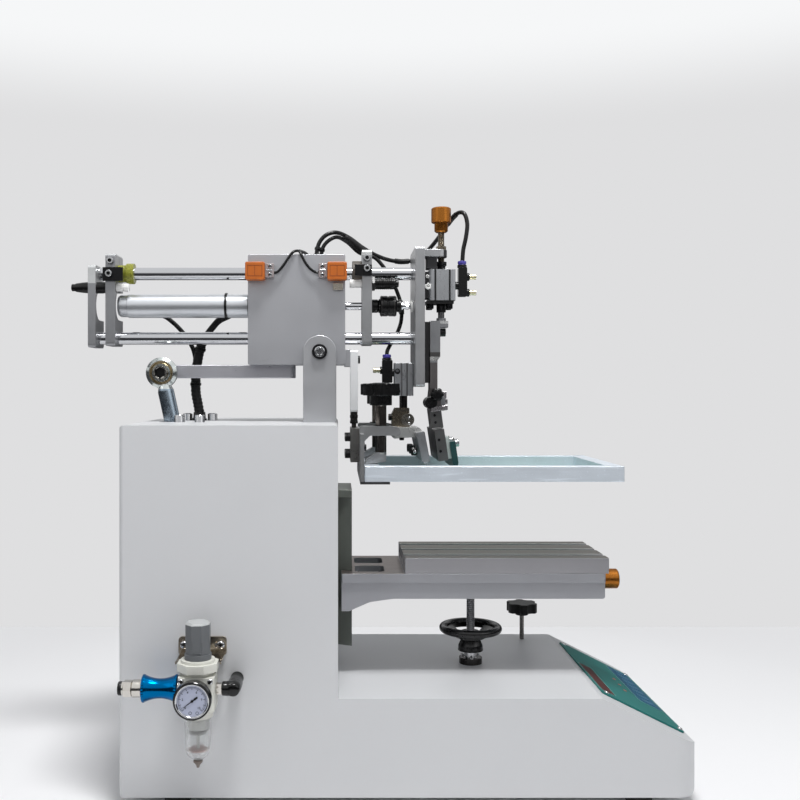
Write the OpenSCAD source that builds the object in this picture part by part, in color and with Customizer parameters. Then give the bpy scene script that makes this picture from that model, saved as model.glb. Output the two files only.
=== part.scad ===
// Screen printing machine: a bench-top pneumatic flat screen printer.
// +X is the operator's side, +Z is up, Y = 0 is the plane through the print carriage.
// The origin is on the floor, at the centre of the base's footprint.

/* [Housing] */
// Length of the base, front to back
housing_l = 655; // [620:5:700]
// Width of the base and the column
housing_w = 290; // [270:5:320]
// Height of the base's flat deck above its underside
base_h = 111; // [105:1:118]
// Length of the column, front to back
column_l = 246.5; // [240:0.5:252]
// Height of the column above the deck
column_h = 307; // [300:1:315]
// Length of the sloping control desk, measured level
slope_l = 111; // [100:1:118]
// Fall of the sloping control desk
slope_drop = 55; // [45:1:60]
// Radius of the housing's upright corners at the front
front_corner_r = 28; // [15:1:35]
// Radius of the housing's upright corners at the back
rear_corner_r = 6; // [4:1:12]
// Radius of the folded edges of the housing
edge_r = 5; // [3:0.5:7]
// Height of the rubber feet
foot_h = 15; // [12:1:18]
// Radius of the rubber feet
foot_r = 17; // [14:0.5:20]
// Distance of the feet from the ends of the base
foot_inset = 62; // [50:1:75]

/* [Control panel] */
// Width of the control panel
panel_w = 226; // [200:1:235]
// Length of the control panel along the slope
panel_l = 106; // [90:1:108]
// Thickness of the control panel
panel_t = 2.2; // [1.5:0.1:3]
// Radius of the control panel's corners
panel_corner_r = 5; // [3:0.5:8]

/* [Tilting head] */
// Distance of the pivot behind the column's front face
pivot_setback = 22.5; // [21:0.5:24]
// Height of the pivot above the column's top
pivot_h = 86.5; // [84:0.5:90]
// Radius of the pivot pin
pivot_r = 7; // [6:0.25:8]
// Width of each ear, front to back
ear_l = 40.5; // [36:0.5:42]
// Thickness of each ear
ear_t = 13; // [10:0.5:15]
// Gap between each ear and the head block
ear_gap = 5; // [5:0.5:7]
// How far the head tilts up, in degrees
tilt_max = 10; // [6:1:12]
// Length of the head block
block_l = 121; // [115:1:125]
// Width of the head block
block_w = 56; // [52:1:60]
// Height of the head block
block_h = 137; // [132:1:142]
// Length of the head block behind the pivot
block_behind = 89.5; // [86:0.5:92]
// Depth of the head block below the pivot
block_below = 15.5; // [14:0.5:17]
// Length of the lever bar
lever_l = 166.5; // [160:0.5:170]
// Thickness of the lever bar
lever_t = 16.5; // [14:0.5:18]
// Width of the lever bar
lever_w = 20; // [18:1:24]
// Outer radius of the rod end's eye
eye_r = 19.5; // [18:0.5:21]
// Width of the rod end's eye
eye_w = 14; // [12:0.5:16]
// Radius of the bolt through the rod end
eye_bolt_r = 6; // [5:0.25:7]
// Radius of the rod end's shank
shank_r = 10; // [8.5:0.5:11]
// Gap round the shank where it enters the column
shank_gap = 6; // [5.5:0.5:8]

/* [Print carriage] */
// Stroke of the print carriage
stroke = 140; // [120:1:140]
// Radius of the two guide rods
rod_r = 8; // [7:0.25:9]
// Height of the lower guide rod above the head block's underside
rod_low = 34; // [33:0.5:36]
// Distance between the two guide rods
rod_pitch = 82; // [78:1:86]
// Radius of the stroke cylinder
stroke_cyl_r = 15; // [13:0.5:16]
// Length of the stroke cylinder
stroke_cyl_l = 166; // [160:1:168]
// Radius of the stroke cylinder's piston rod
piston_r = 5; // [4:0.25:6]
// Width of the plates that clamp the guide rods
clamp_w = 44; // [40:1:50]
// Thickness of the two plates next to the head block
stop_plate_t = 12.4; // [10:0.2:13]
// Thickness of the rear end plate
end_plate_t = 9.7; // [8:0.1:11]
// Radius of the notch round the stroke cylinder
notch_r = 18; // [17.5:0.5:20]
// Gap between the head block and the front stop plate
front_gap = 21; // [20:0.5:24]
// Gap between the two rear plates
rear_plate_gap = 12.2; // [11:0.2:14]
// Radius of the rubber bumpers
bumper_r = 13; // [11.5:0.5:15]
// Radius of the shock absorbers
shock_r = 7; // [6:0.25:7.5]
// Distance of the shock absorbers towards the near side
shock_y = 14; // [13.5:0.5:15]
// Distance of the front plate from the head block
front_plate_gap = 86; // [84:1:90]
// Thickness of the front plate
front_plate_t = 11.8; // [10:0.2:13]
// Width of the front plate
front_plate_w = 84; // [80:1:90]
// Height of the front plate
front_plate_h = 173; // [171:1:178]

/* [Squeegee and flood bar] */
// Distance of the squeegee's centre line before the front plate
squeegee_reach = 24.2; // [23:0.2:26]
// Size of the squeegee cylinder, front to back
squeegee_cyl_l = 33; // [30:0.5:34]
// Width of the squeegee cylinder
squeegee_cyl_w = 34; // [30:1:38]
// Height of the squeegee cylinder
squeegee_cyl_h = 39; // [36:1:42]
// Radius of the squeegee's lifting rod
squeegee_rod_r = 4; // [3:0.25:5]
// How far the squeegee drops
squeegee_drop = 10; // [6:0.5:10]
// Width of the squeegee blade
squeegee_w = 110; // [90:1:140]
// Thickness of the squeegee blade
blade_t = 7; // [5:0.5:8]
// How far the flood bar drops
flood_drop = 8; // [5:0.5:8]
// Width of the flood bar
flood_w = 110; // [90:1:140]
// Radius of the flood bar's lifting rod
flood_rod_r = 5; // [4:0.25:5.5]
// Radius of the knurled adjusting knobs
gold_knob_r = 12.5; // [11:0.5:14]
// Height of the knurled adjusting knobs' flange
gold_knob_h = 19.2; // [17:0.2:21]

/* [Screen] */
// Length of the screen frame
frame_l = 305; // [290:1:320]
// Width of the screen frame
frame_w = 195; // [180:1:210]
// Height of the screen frame's rails
frame_h = 18; // [16:0.5:20]
// Width of the screen frame's rails
frame_rail = 18; // [16:0.5:20]
// Height of the screen frame's underside above the table
screen_gap = 95; // [93:1:98]
// Half the distance between the two clamp screws
clamp_y = 55; // [52:1:58]
// Radius of the star knobs
star_r = 23; // [20:0.5:25]
// Number of lobes on each star knob
star_lobes = 7; // [5:1:8]

/* [Table] */
// Length of the table
table_l = 246.3; // [230:0.1:250]
// Width of the table and the knee
table_w = 128; // [120:1:140]
// Thickness of the table
table_t = 18.7; // [17:0.1:20]
// Number of T-slots in the table
slot_count = 3; // [2:1:3]
// Distance between the T-slots
slot_pitch = 40; // [34:1:42]
// Width of the T-slots' mouths
slot_mouth = 10; // [8:0.5:12]
// Width of the T-slots' heads
slot_head = 17; // [15:0.5:20]
// Length of the knee
knee_l = 318.7; // [312:0.1:322]
// Height of the knee
knee_h = 31; // [30:0.5:34]
// Height of the knee's underside above the deck
knee_z = 94; // [92:1:98]
// How far the knee rises
lift_up = 75; // [60:1:75]
// How far the knee sinks
lift_down = 20; // [10:1:20]
// Travel of the table each way
feed_travel = 15; // [10:1:15]
// Radius of the lift screw
lift_screw_r = 5; // [4:0.25:6]
// Radius of the table's feed screw
feed_screw_r = 5; // [4:0.25:5.5]
// Radius of the handwheel
wheel_r = 39.5; // [36:0.5:44]
// Radius of the handwheel's rim section
wheel_rim_r = 5; // [4:0.25:5.5]
// Half width of the column's dovetail at its root
dovetail_root = 36; // [32:0.5:38]
// Half width of the column's dovetail at its face
dovetail_face = 45; // [42:0.5:48]
// Thickness of the column's dovetail
dovetail_t = 17; // [15:0.5:19]

/* [Air unit] */
// Distance of the air unit's axis from the housing's side
air_reach = 38; // [36:0.5:42]
// Height of the air unit's ports above the floor
air_z = 149.5; // [145:0.5:155]
// Distance of the air unit from the back of the housing
air_x = 94.8; // [90:0.2:100]
// Half width of the regulator's body
regulator_hw = 19.5; // [18:0.5:21]
// Radius of the pressure gauge
gauge_r = 20; // [18:0.5:22]
// Radius of the filter bowl
bowl_r = 14.5; // [13:0.5:16]
// Radius of the inlet's tube socket
inlet_r = 4.1; // [3.1:0.1:5.1]
// Depth of the inlet's tube socket
inlet_depth = 14; // [10:1:18]

/* [Hidden] */
$fn = 48;
// Gap of a running fit, on the radius
run_fit = 0.05;
// Gap between faces that slide past each other
slide_gap = 0.3;
// Overlap that keeps cuts clear of coincident faces
cut = 1;
// Least clearance between pieces that move past each other
clear = 5;

housing_x0 = -housing_l / 2;
housing_x1 = housing_l / 2;
deck_z = foot_h + base_h;
column_x1 = housing_x0 + column_l;
column_z1 = deck_z + column_h;
slope_x0 = housing_x1 - slope_l;
slope_angle = atan(slope_drop / slope_l);
slope_run = norm([slope_l, slope_drop]);

pivot_x = column_x1 - pivot_setback;
pivot_z = column_z1 + pivot_h;
block_x0 = pivot_x - block_behind;
block_x1 = block_x0 + block_l;
block_z0 = pivot_z - block_below;
block_z1 = block_z0 + block_h;
ear_y = block_w / 2 + ear_gap;

rod_z0 = block_z0 + rod_low;
rod_z1 = rod_z0 + rod_pitch;
stroke_z = (rod_z0 + rod_z1) / 2;
// The eye of the rod end, at the far end of the lever
eye_x = block_x0 - 109;
eye_z = block_z0 - 10;
lever_y = -6;
eye_y = lever_y - 2 - eye_w / 2;
// The shank lies along the chord that the eye travels as the head tilts
shank_lean = atan2(pivot_z - eye_z, pivot_x - eye_x) + tilt_max / 2;

bumper_t = 10;
rear_bumper_reach = stroke + 1.2 * clear;
stop_plate_x0 = block_x0 - rear_bumper_reach - 2 * bumper_t - stop_plate_t;
end_plate_x0 = stop_plate_x0 - rear_plate_gap - end_plate_t;
front_stop_x0 = block_x1 + front_gap;
front_stop_x1 = front_stop_x0 + stop_plate_t;
front_x0 = block_x1 + front_plate_gap;
front_x1 = front_x0 + front_plate_t;
front_z0 = rod_z0 - 61.5;
front_z1 = front_z0 + front_plate_h;

squeegee_x = front_x1 + squeegee_reach;
squeegee_cyl_z0 = rod_z0 + 47;
squeegee_cyl_z1 = squeegee_cyl_z0 + squeegee_cyl_h;
lip_t = 9;
knob_z0 = front_z1 + 22.8;
flood_x = front_x0 - 12;
flood_cyl_z0 = front_z0 - 11.5;
flood_cyl_z1 = flood_cyl_z0 + 41.5;

knee_z0 = deck_z + knee_z;
knee_z1 = knee_z0 + knee_h;
knee_x0 = column_x1 + 4.3;
knee_x1 = knee_x0 + knee_l;
table_z0 = knee_z1 + slide_gap;
table_z1 = table_z0 + table_t;
table_x1 = knee_x1 + 4;
table_x0 = table_x1 - table_l;
slide_foot = 33;
// The dovetail ends above the knee at the top of its travel
dovetail_h = knee_z + knee_h + lift_up + 15 - slide_foot;
feed_z = knee_z0 + 13;
wheel_x = knee_x0 + 164;
wheel_z0 = deck_z + 16;
screw_end = foot_h + lift_down + 14;
groove_hw = 15.3;
groove_x0 = table_x0 + 55;
groove_x1 = knee_x1 - 37;

frame_x0 = column_x1 + 31;
frame_x1 = frame_x0 + frame_l;
frame_z0 = table_z1 + screen_gap;
frame_z1 = frame_z0 + frame_h;
clamp_x = frame_x0 + 21;
arm_z0 = frame_z1 + 34.6;
arm_t = 11.4;

air_axis_x = housing_x0 + air_x;
air_y = -housing_w / 2 - air_reach;

// Points of a round corner at p between its neighbours a and b, with radius p[2]
function corner(a, p, b) =
    let (
        u = [a[0] - p[0], a[1] - p[1]] / norm([a[0] - p[0], a[1] - p[1]]),
        v = [b[0] - p[0], b[1] - p[1]] / norm([b[0] - p[0], b[1] - p[1]]),
        half = acos(u * v) / 2,
        r = p[2],
        m = (u + v) / norm(u + v),
        c = [p[0], p[1]] + m * r / sin(half),
        t0 = [p[0], p[1]] + u * r / tan(half),
        t1 = [p[0], p[1]] + v * r / tan(half),
        a0 = atan2(t0[1] - c[1], t0[0] - c[0]),
        a1 = atan2(t1[1] - c[1], t1[0] - c[0]),
        turn = (a1 - a0 + 540) % 360 - 180,
        n = max(3, ceil(abs(turn) / 11))
    )
    r <= 0 ? [[p[0], p[1]]]
    : [for (i = [0 : n]) c + r * [cos(a0 + turn * i / n), sin(a0 + turn * i / n)]];

// An outline through points [x, y, radius], with its corners rounded
function rounded(pts) = [
    for (i = [0 : len(pts) - 1])
        each corner(pts[(i + len(pts) - 1) % len(pts)], pts[i], pts[(i + 1) % len(pts)])
];

// A box from corner a to corner b
module block(a, b) {
    translate(a) cube(b - a);
}

// A cylinder along X, Y or Z from the point p
module rod_x(p, r, l) {
    translate(p) rotate([0, 90, 0]) cylinder(r = r, h = l);
}
module rod_y(p, r, l) {
    translate(p) rotate([-90, 0, 0]) cylinder(r = r, h = l);
}
module rod_z(p, r, l) {
    translate(p) cylinder(r = r, h = l);
}

// A slab with the side outline pts in X and Z, centred on Y = y
module side_slab(pts, w, y = 0) {
    translate([0, y + w / 2, 0]) rotate([90, 0, 0]) linear_extrude(w) polygon(rounded(pts));
}

// A slab with the front outline pts in Y and Z, from x on
module front_slab(pts, x, t) {
    translate([x, 0, 0]) rotate([90, 0, 90]) linear_extrude(t) polygon(rounded(pts));
}

// A slab with the plan outline pts in X and Y, from z on
module plan_slab(pts, z, t) {
    translate([0, 0, z]) linear_extrude(t) polygon(rounded(pts));
}

// Corners of a rectangle from (x0, y0) to (x1, y1) with radius r
function rect(x0, y0, x1, y1, r) = [[x0, y0, r], [x1, y0, r], [x1, y1, r], [x0, y1, r]];

// A tube of radius r swept along the points of a route that never runs along Y
function tube_ring(path, i, r, n) =
    let (
        last = len(path) - 1,
        d = path[min(i + 1, last)] - path[max(i - 1, 0)],
        t = d / norm(d),
        side = cross(t, [0, 1, 0]) / norm(cross(t, [0, 1, 0])),
        up = cross(side, t)
    )
    [for (k = [0 : n - 1]) path[i] + r * (cos(360 * k / n) * side + sin(360 * k / n) * up)];
module tube(path, r, n = 8) {
    last = len(path) - 1;
    polyhedron(
        points = [for (i = [0 : last]) each tube_ring(path, i, r, n)],
        faces = concat(
            [[for (k = [n - 1 : -1 : 0]) k]],
            [for (i = [0 : last - 1], k = [0 : n - 1])
                [i * n + k, i * n + (k + 1) % n, (i + 1) * n + (k + 1) % n, (i + 1) * n + k]],
            [[for (k = [0 : n - 1]) last * n + k]]
        ));
}

// A hexagon bar along X from the point p, w across its flats
module hex_x(p, w, l) {
    translate(p) rotate([0, 90, 0]) cylinder(d = w / cos(30), h = l, $fn = 6);
}

// A hexagon socket cut along +Y from the point p, w across its flats
module hex_socket(p, w, l) {
    translate(p) rotate([-90, 0, 0]) cylinder(d = w / cos(30), h = l, $fn = 6);
}

// A knurled knob with a chamfered flange and a neck, pointing along +Z from its neck
module knurled_knob() {
    neck_r = 0.69 * gold_knob_r;
    neck_h = 0.64 * gold_knob_h;
    rotate_extrude() polygon([
        [0, 0], [neck_r - 2, 0], [neck_r, 2], [neck_r, neck_h], [gold_knob_r - 1, neck_h],
        [gold_knob_r, neck_h + 1], [gold_knob_r, neck_h + gold_knob_h - 1],
        [gold_knob_r - 1, neck_h + gold_knob_h], [0, neck_h + gold_knob_h]
    ]);
}

module housing() {
    color("gainsboro") difference() {
        intersection() {
            side_slab([
                [housing_x0, foot_h, edge_r], [housing_x1, foot_h, 2.4 * edge_r],
                [housing_x1, deck_z - slope_drop, 1.4 * edge_r], [slope_x0, deck_z, 2 * edge_r],
                [column_x1, deck_z, 1.5], [column_x1, column_z1, edge_r],
                [housing_x0, column_z1, edge_r]
            ], housing_w);
            plan_slab([
                [housing_x0, -housing_w / 2, rear_corner_r], [housing_x1, -housing_w / 2, front_corner_r],
                [housing_x1, housing_w / 2, front_corner_r], [housing_x0, housing_w / 2, rear_corner_r]
            ], 0, column_z1 + cut);
        }
        shank_bore();
        rod_z([wheel_x, 0, foot_h + 8], lift_screw_r + 3, base_h);
    }
}

// The leaning bore in the column's top that the rod end's shank moves in
module shank_bore() {
    depth = 70;
    translate([eye_x, eye_y, eye_z]) rotate([0, -shank_lean, 0])
        translate([0, 0, -(eye_z - column_z1) - depth])
            cylinder(r = shank_r + shank_gap, h = depth + (eye_z - column_z1) + eye_r);
}

module feet() {
    color("dimgray")
        for (x = [housing_x0 + foot_inset, housing_x1 - foot_inset], y = [-1, 1])
            translate([x, y * (housing_w / 2 - foot_inset / 2), 0])
                cylinder(r1 = foot_r - 2, r2 = foot_r, h = foot_h);
}

module control_panel() {
    color("teal")
        translate([slope_x0, 0, deck_z]) rotate([0, slope_angle, 0])
            plan_slab(rect(
                (slope_run - panel_l) / 2, -panel_w / 2,
                (slope_run + panel_l) / 2, panel_w / 2, panel_corner_r), 0, panel_t);
}

module pivot_ears() {
    color("lightgray")
        for (side = [-1, 1])
            difference() {
                union() {
                    translate([pivot_x, side * (ear_y + ear_t / 2) + ear_t / 2, pivot_z])
                        rotate([90, 0, 0]) cylinder(d = ear_l, h = ear_t);
                    block(
                        [pivot_x - ear_l / 2, side * (ear_y + ear_t / 2) - ear_t / 2, column_z1],
                        [pivot_x + ear_l / 2, side * (ear_y + ear_t / 2) + ear_t / 2, pivot_z]);
                }
                rod_y([pivot_x, side * (ear_y + ear_t / 2) - ear_t / 2 - cut, pivot_z],
                    pivot_r + run_fit, ear_t + 2 * cut);
            }
}

module pivot_pin() {
    head_r = 9.3;
    head_t = 5;
    reach = ear_y + ear_t;
    color("dimgray") difference() {
        union() {
            rod_y([pivot_x, -reach, pivot_z], pivot_r, 2 * reach);
            for (side = [-1, 1])
                rod_y([pivot_x, side * (reach + head_t / 2) - head_t / 2, pivot_z], head_r, head_t);
        }
        for (y = [-reach - head_t - cut, reach + head_t - 4])
            hex_socket([pivot_x, y, pivot_z], 7, 4 + cut);
    }
}

// Outline of the dovetail, grown by a gap on its faces
function dovetail(gap) = [
    [column_x1 - (gap > 0 ? cut : 0), dovetail_root + gap, 0],
    [column_x1 + dovetail_t + gap, dovetail_face + gap, 0],
    [column_x1 + dovetail_t + gap, -dovetail_face - gap, 0],
    [column_x1 - (gap > 0 ? cut : 0), -dovetail_root - gap, 0]
];

module column_slide() {
    cap_h = 9;
    slide_z0 = deck_z + slide_foot;
    color("darkslategray") {
        plan_slab(dovetail(0), slide_z0, dovetail_h);
        block([column_x1, -dovetail_face, slide_z0 + dovetail_h],
            [column_x1 + dovetail_t, dovetail_face, slide_z0 + dovetail_h + cap_h]);
    }
}

module wheel_bearing() {
    foot_t = 8;
    color("silver") difference() {
        union() {
            rod_z([wheel_x, 0, deck_z], 14.5, foot_t);
            rod_z([wheel_x, 0, deck_z + foot_t], 8, wheel_z0 - deck_z - foot_t);
        }
        rod_z([wheel_x, 0, deck_z - cut], lift_screw_r + 0.5, wheel_z0 - deck_z + 2 * cut);
    }
}

module stop_knob() {
    post_h = 34;
    knob_h = 13;
    knob_r = 21;
    lobes = 6;
    color("dimgray") translate([slope_x0 - 42, housing_w / 2 - 27, deck_z]) {
        cylinder(r = 3, h = post_h);
        translate([0, 0, post_h]) cylinder(r = 9, h = 4);
        translate([0, 0, post_h + 4]) difference() {
            cylinder(r = knob_r, h = knob_h);
            for (i = [0 : lobes - 1])
                rotate(360 * i / lobes) translate([knob_r + 5, 0, -cut])
                    cylinder(r = 9, h = knob_h + 2 * cut);
        }
    }
}

module regulator_body() {
    body_z0 = air_z - 29.5;
    body_z1 = air_z + 20.5;
    neck_r = regulator_hw - 3;
    color("gainsboro") {
        plan_slab([
            [air_axis_x - regulator_hw, air_y - regulator_hw, 5],
            [air_axis_x + regulator_hw, air_y - regulator_hw, 5],
            [air_axis_x + regulator_hw, air_y + regulator_hw, 5],
            [air_axis_x - regulator_hw, air_y + regulator_hw, 5]
        ], body_z0 + 9, body_z1 - body_z0 - 13);
        rod_z([air_axis_x, air_y, body_z0], neck_r, 10);
        rod_z([air_axis_x, air_y, body_z1 - 5], neck_r, 6);
        translate([air_axis_x, air_y, body_z1]) rotate(22.5)
            cylinder(r = (regulator_hw + 2) / cos(22.5), h = 9, $fn = 8);
        rod_z([air_axis_x, air_y, body_z1 + 9], regulator_hw - 1, 3);
    }
}

module regulator_knob() {
    grip_r = 14;
    knob_h = 40;
    ribs = 8;
    color("gray") translate([air_axis_x, air_y, air_z + 32.5]) difference() {
        union() {
            cylinder(r = grip_r + 0.6, h = 6);
            translate([0, 0, 6]) rotate(22.5) cylinder(r = grip_r, h = knob_h - 8, $fn = ribs);
            translate([0, 0, knob_h - 2]) rotate(22.5)
                cylinder(r1 = grip_r, r2 = grip_r - 2, h = 2, $fn = ribs);
        }
        for (i = [0 : ribs - 1])
            rotate(360 * (i + 0.5) / ribs) translate([grip_r + 0.4, 0, 7])
                cylinder(r = 1.2, h = 13);
    }
}

module filter_bowl() {
    bowl_z1 = air_z - 29.5;
    bowl_h = 48;
    color("lightcyan") translate([air_axis_x, air_y, bowl_z1]) rotate_extrude() polygon(rounded([
        [0, 0, 0], [bowl_r, 0, 0], [bowl_r - 1, -bowl_h + 9, 7], [7, -bowl_h, 3], [5, -bowl_h, 0],
        [5, -bowl_h - 2, 0], [3.2, -bowl_h - 4, 0], [1.6, -bowl_h - 8, 0], [0, -bowl_h - 8, 0]
    ]));
}

module pressure_gauge() {
    gauge_t = 22;
    gauge_y = air_y - regulator_hw - 4 - gauge_t;
    color("dimgray") translate([air_axis_x, gauge_y, air_z]) rotate([-90, 0, 0])
        rotate_extrude() polygon([
            [0, 1.5], [gauge_r - 2.5, 1.5], [gauge_r - 2, 0], [gauge_r - 0.6, 0], [gauge_r, 1],
            [gauge_r, 9], [gauge_r - 2, 10], [gauge_r - 3, gauge_t - 2], [gauge_r - 5, gauge_t],
            [6, gauge_t], [6, gauge_t + 4], [0, gauge_t + 4]
        ]);
}

module regulator_bracket() {
    bracket_t = 2.5;
    bracket_w = 54;
    ring_z = air_z + 32.5;
    color("silver") difference() {
        union() {
            translate([0, -housing_w / 2, 0]) rotate([90, 0, 0]) linear_extrude(bracket_t)
                polygon(rounded(rect(air_axis_x - bracket_w / 2, air_z + 26,
                    air_axis_x + bracket_w / 2, air_z + 47, 4)));
            block([air_axis_x - bracket_w / 2 + 2, air_y, air_z + 26],
                [air_axis_x + bracket_w / 2 - 2, -housing_w / 2, air_z + 26 + bracket_t]);
        }
        rod_z([air_axis_x, air_y, air_z], (regulator_hw + 2) / cos(22.5) + slide_gap, 60);
        for (x = [-1, 1], dx = [0, 4])
            rod_y([air_axis_x + x * (bracket_w / 2 - 7) - x * dx, -housing_w / 2 - bracket_t - cut,
                ring_z + 5.5], 2.6, bracket_t + 2 * cut);
    }
}

module air_fittings() {
    left_x = air_axis_x - regulator_hw;
    right_x = air_axis_x + regulator_hw;
    waist_r = 10.5;
    flange_r = 15;
    sleeve_l = 39;
    fitting_l = 28;
    color("dodgerblue") difference() {
        union() {
            translate([left_x, air_y, air_z]) rotate([0, -90, 0]) rotate_extrude() polygon(concat(
                [[0, 0], [9, 0], [9, 2], [flange_r - 2, 2]],
                [for (i = [0 : 12])
                    let (t = i / 12)
                    [flange_r - (flange_r - waist_r) * pow(sin(180 * t), 0.7), 4 + (sleeve_l - 4) * t]],
                [[9.3, sleeve_l], [9.3, sleeve_l + 12], [8.4, sleeve_l + 13],
                    [7.5, sleeve_l + 13], [7.5, sleeve_l + fitting_l], [0, sleeve_l + fitting_l]]
            ));
            hex_x([left_x - sleeve_l - 22, air_y, air_z], 16, 9);
        }
        rod_x([left_x - sleeve_l - fitting_l - cut, air_y, air_z], inlet_r, inlet_depth + cut);
    }
    color("dimgray") {
        hex_x([right_x, air_y, air_z], 11, 7);
        rod_x([right_x + 7, air_y, air_z], 7.6, 9);
        rod_x([right_x + 16, air_y, air_z], 6.6, 3);
        translate([right_x + 19, air_y, air_z]) sphere(8);
        rod_y([right_x + 19, air_y, air_z], 7, air_reach);
        rod_y([right_x + 19, air_y + 9, air_z], 8, 12);
    }
}

// Routes of the hoses: a trunk from the column's top and its two branches
TRUNK = [
    [-258, 36, 433.1], [-258, 36, 442], [-263, 37, 454], [-267, 38, 468], [-267, 39, 492],
    [-262, 40, 520], [-254, 41, 545]
];
FRONT_BRANCH = [
    [-261, 39, 527], [-252, 41, 543], [-239, 41, 552], [-223, 40, 553], [-211, 39, 556],
    [-206, 38, 563], [-206, 38, 569]
];
REAR_BRANCH = [
    [-265, 41, 513], [-277, 40, 533], [-296, 41, 546], [-320, 40, 553], [-338, 39, 556],
    [-346, 38, 563], [-346, 38, 569]
];
module column_harness() {
    color("black") {
        tube(TRUNK, 6.5);
        tube(FRONT_BRANCH, 3);
        tube(REAR_BRANCH, 3);
    }
}

module head_block() {
    foot_t = 6.5;
    color("silver") difference() {
        union() {
            side_slab(rect(block_x0, block_z0, block_x1, block_z1, 2), block_w);
            block([block_x1 - cut, -20, block_z0 - 2], [block_x1 + foot_t, 20, block_z0 + 19]);
        }
        for (z = [rod_z0, rod_z1])
            rod_x([block_x0 - cut, 0, z], rod_r + run_fit, block_l + foot_t + 2 * cut);
        rod_x([block_x0 - cut, 0, stroke_z], piston_r + run_fit, block_l + 2 * cut);
        rod_y([pivot_x, -block_w, pivot_z], pivot_r + run_fit, 2 * block_w);
    }
}

module lever_bar() {
    lever_x0 = eye_x - 11;
    head_r = 9;
    head_t = 8;
    color("gainsboro") difference() {
        union() {
            side_slab([
                [lever_x0, block_z0 - lever_t, 7], [lever_x0 + lever_l, block_z0 - lever_t, 3],
                [lever_x0 + lever_l, block_z0, 3], [lever_x0, block_z0, 7]
            ], lever_w, lever_y + lever_w / 2);
            rod_y([eye_x, lever_y - 2 - eye_w - 1, eye_z], eye_bolt_r, eye_w + 4);
            rod_y([eye_x, lever_y - 2 + slide_gap, eye_z], 10, 2 - slide_gap + 1);
            rod_y([eye_x, lever_y - 2 - eye_w - slide_gap - head_t, eye_z], head_r, head_t);
        }
        hex_socket([eye_x, lever_y - 2 - eye_w - slide_gap - head_t - cut, eye_z], 8, 5 + cut);
    }
}

module rod_end() {
    shank_l = eye_z - column_z1 + 12;
    color("lightgray") difference() {
        union() {
            translate([eye_x, eye_y, eye_z]) rotate([-90, 0, 0]) rotate_extrude() polygon([
                [0, -eye_w / 2], [eye_r - 4, -eye_w / 2], [eye_r, -eye_w / 4], [eye_r, eye_w / 4],
                [eye_r - 4, eye_w / 2], [0, eye_w / 2]
            ]);
            translate([eye_x, eye_y, eye_z]) rotate([0, -shank_lean, 0])
                translate([0, 0, -shank_l]) {
                    cylinder(r = shank_r, h = shank_l - eye_r - 4);
                    translate([0, 0, shank_l - eye_r - 4])
                        cylinder(r1 = shank_r, r2 = eye_w / 2 - 0.2, h = 10);
                }
        }
        for (y = [-1, 1])
            translate([eye_x, eye_y + y * (eye_w / 2 + cut / 2), eye_z]) rotate([90, 0, 0])
                difference() {
                    cylinder(r = eye_r - 5, h = 3 + cut, center = true);
                    cylinder(r = eye_r - 9, h = 5 + cut, center = true);
                }
        rod_y([eye_x, eye_y - eye_w, eye_z], eye_bolt_r + run_fit, 2 * eye_w);
    }
}

module stroke_cylinder() {
    cap_l = 12;
    port_r = 5;
    port_l = 26;
    rear_x = block_x0 - stroke_cyl_l;
    color("silver") difference() {
        union() {
            translate([rear_x, 0, stroke_z]) rotate([0, 90, 0]) rotate_extrude() polygon([
                [0, 0], [stroke_cyl_r - 3, 0], [stroke_cyl_r - 1, 3], [stroke_cyl_r - 1, cap_l],
                [stroke_cyl_r, cap_l + 0.6], [stroke_cyl_r, stroke_cyl_l], [0, stroke_cyl_l]
            ]);
            rod_x([block_x0 - 31, 0, stroke_z], stroke_cyl_r + 0.8, 2.5);
            for (x = [block_x0 - 13, rear_x + 13])
                union() {
                    rod_y([x, 0, stroke_z], port_r, stroke_cyl_r + port_l);
                    rod_z([x, stroke_cyl_r + port_l - 3, stroke_z - 10], port_r - 1, 10);
                }
        }
        rod_x([block_x0 - 50, 0, stroke_z], piston_r + run_fit, 50 + cut);
    }
}

module position_sensors() {
    sensor_l = 24;
    sensor_t = 16;
    color("darkorange")
        for (x = [block_x0 - 2, block_x1 - sensor_l + 2])
            side_slab(rect(x, rod_z1 - 12, x + sensor_l, rod_z1 + 10, 2), sensor_t,
                -block_w / 2 - sensor_t / 2);
}

hanger_x0 = block_x1 + 6.5;
hanger_t = 9.5;
module screen_hanger() {
    bar_z0 = block_z0 - 59;
    color("white") {
        front_slab(rect(-18, bar_z0, 18, block_z0 + 18.7, 3), hanger_x0, hanger_t);
        rod_z([hanger_x0 + hanger_t / 2, 0, arm_z0 + 7.4], 3, bar_z0 - arm_z0 - 7.4);
        rod_z([hanger_x0 + hanger_t / 2, 0, bar_z0 - 4], 4.6, 4);
        rod_z([hanger_x0 + hanger_t / 2, 0, bar_z0 - 11], 4.6, 3);
        rod_x([hanger_x0 + hanger_t, 0, block_z0 + 7], 5, 3);
    }
}

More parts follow.
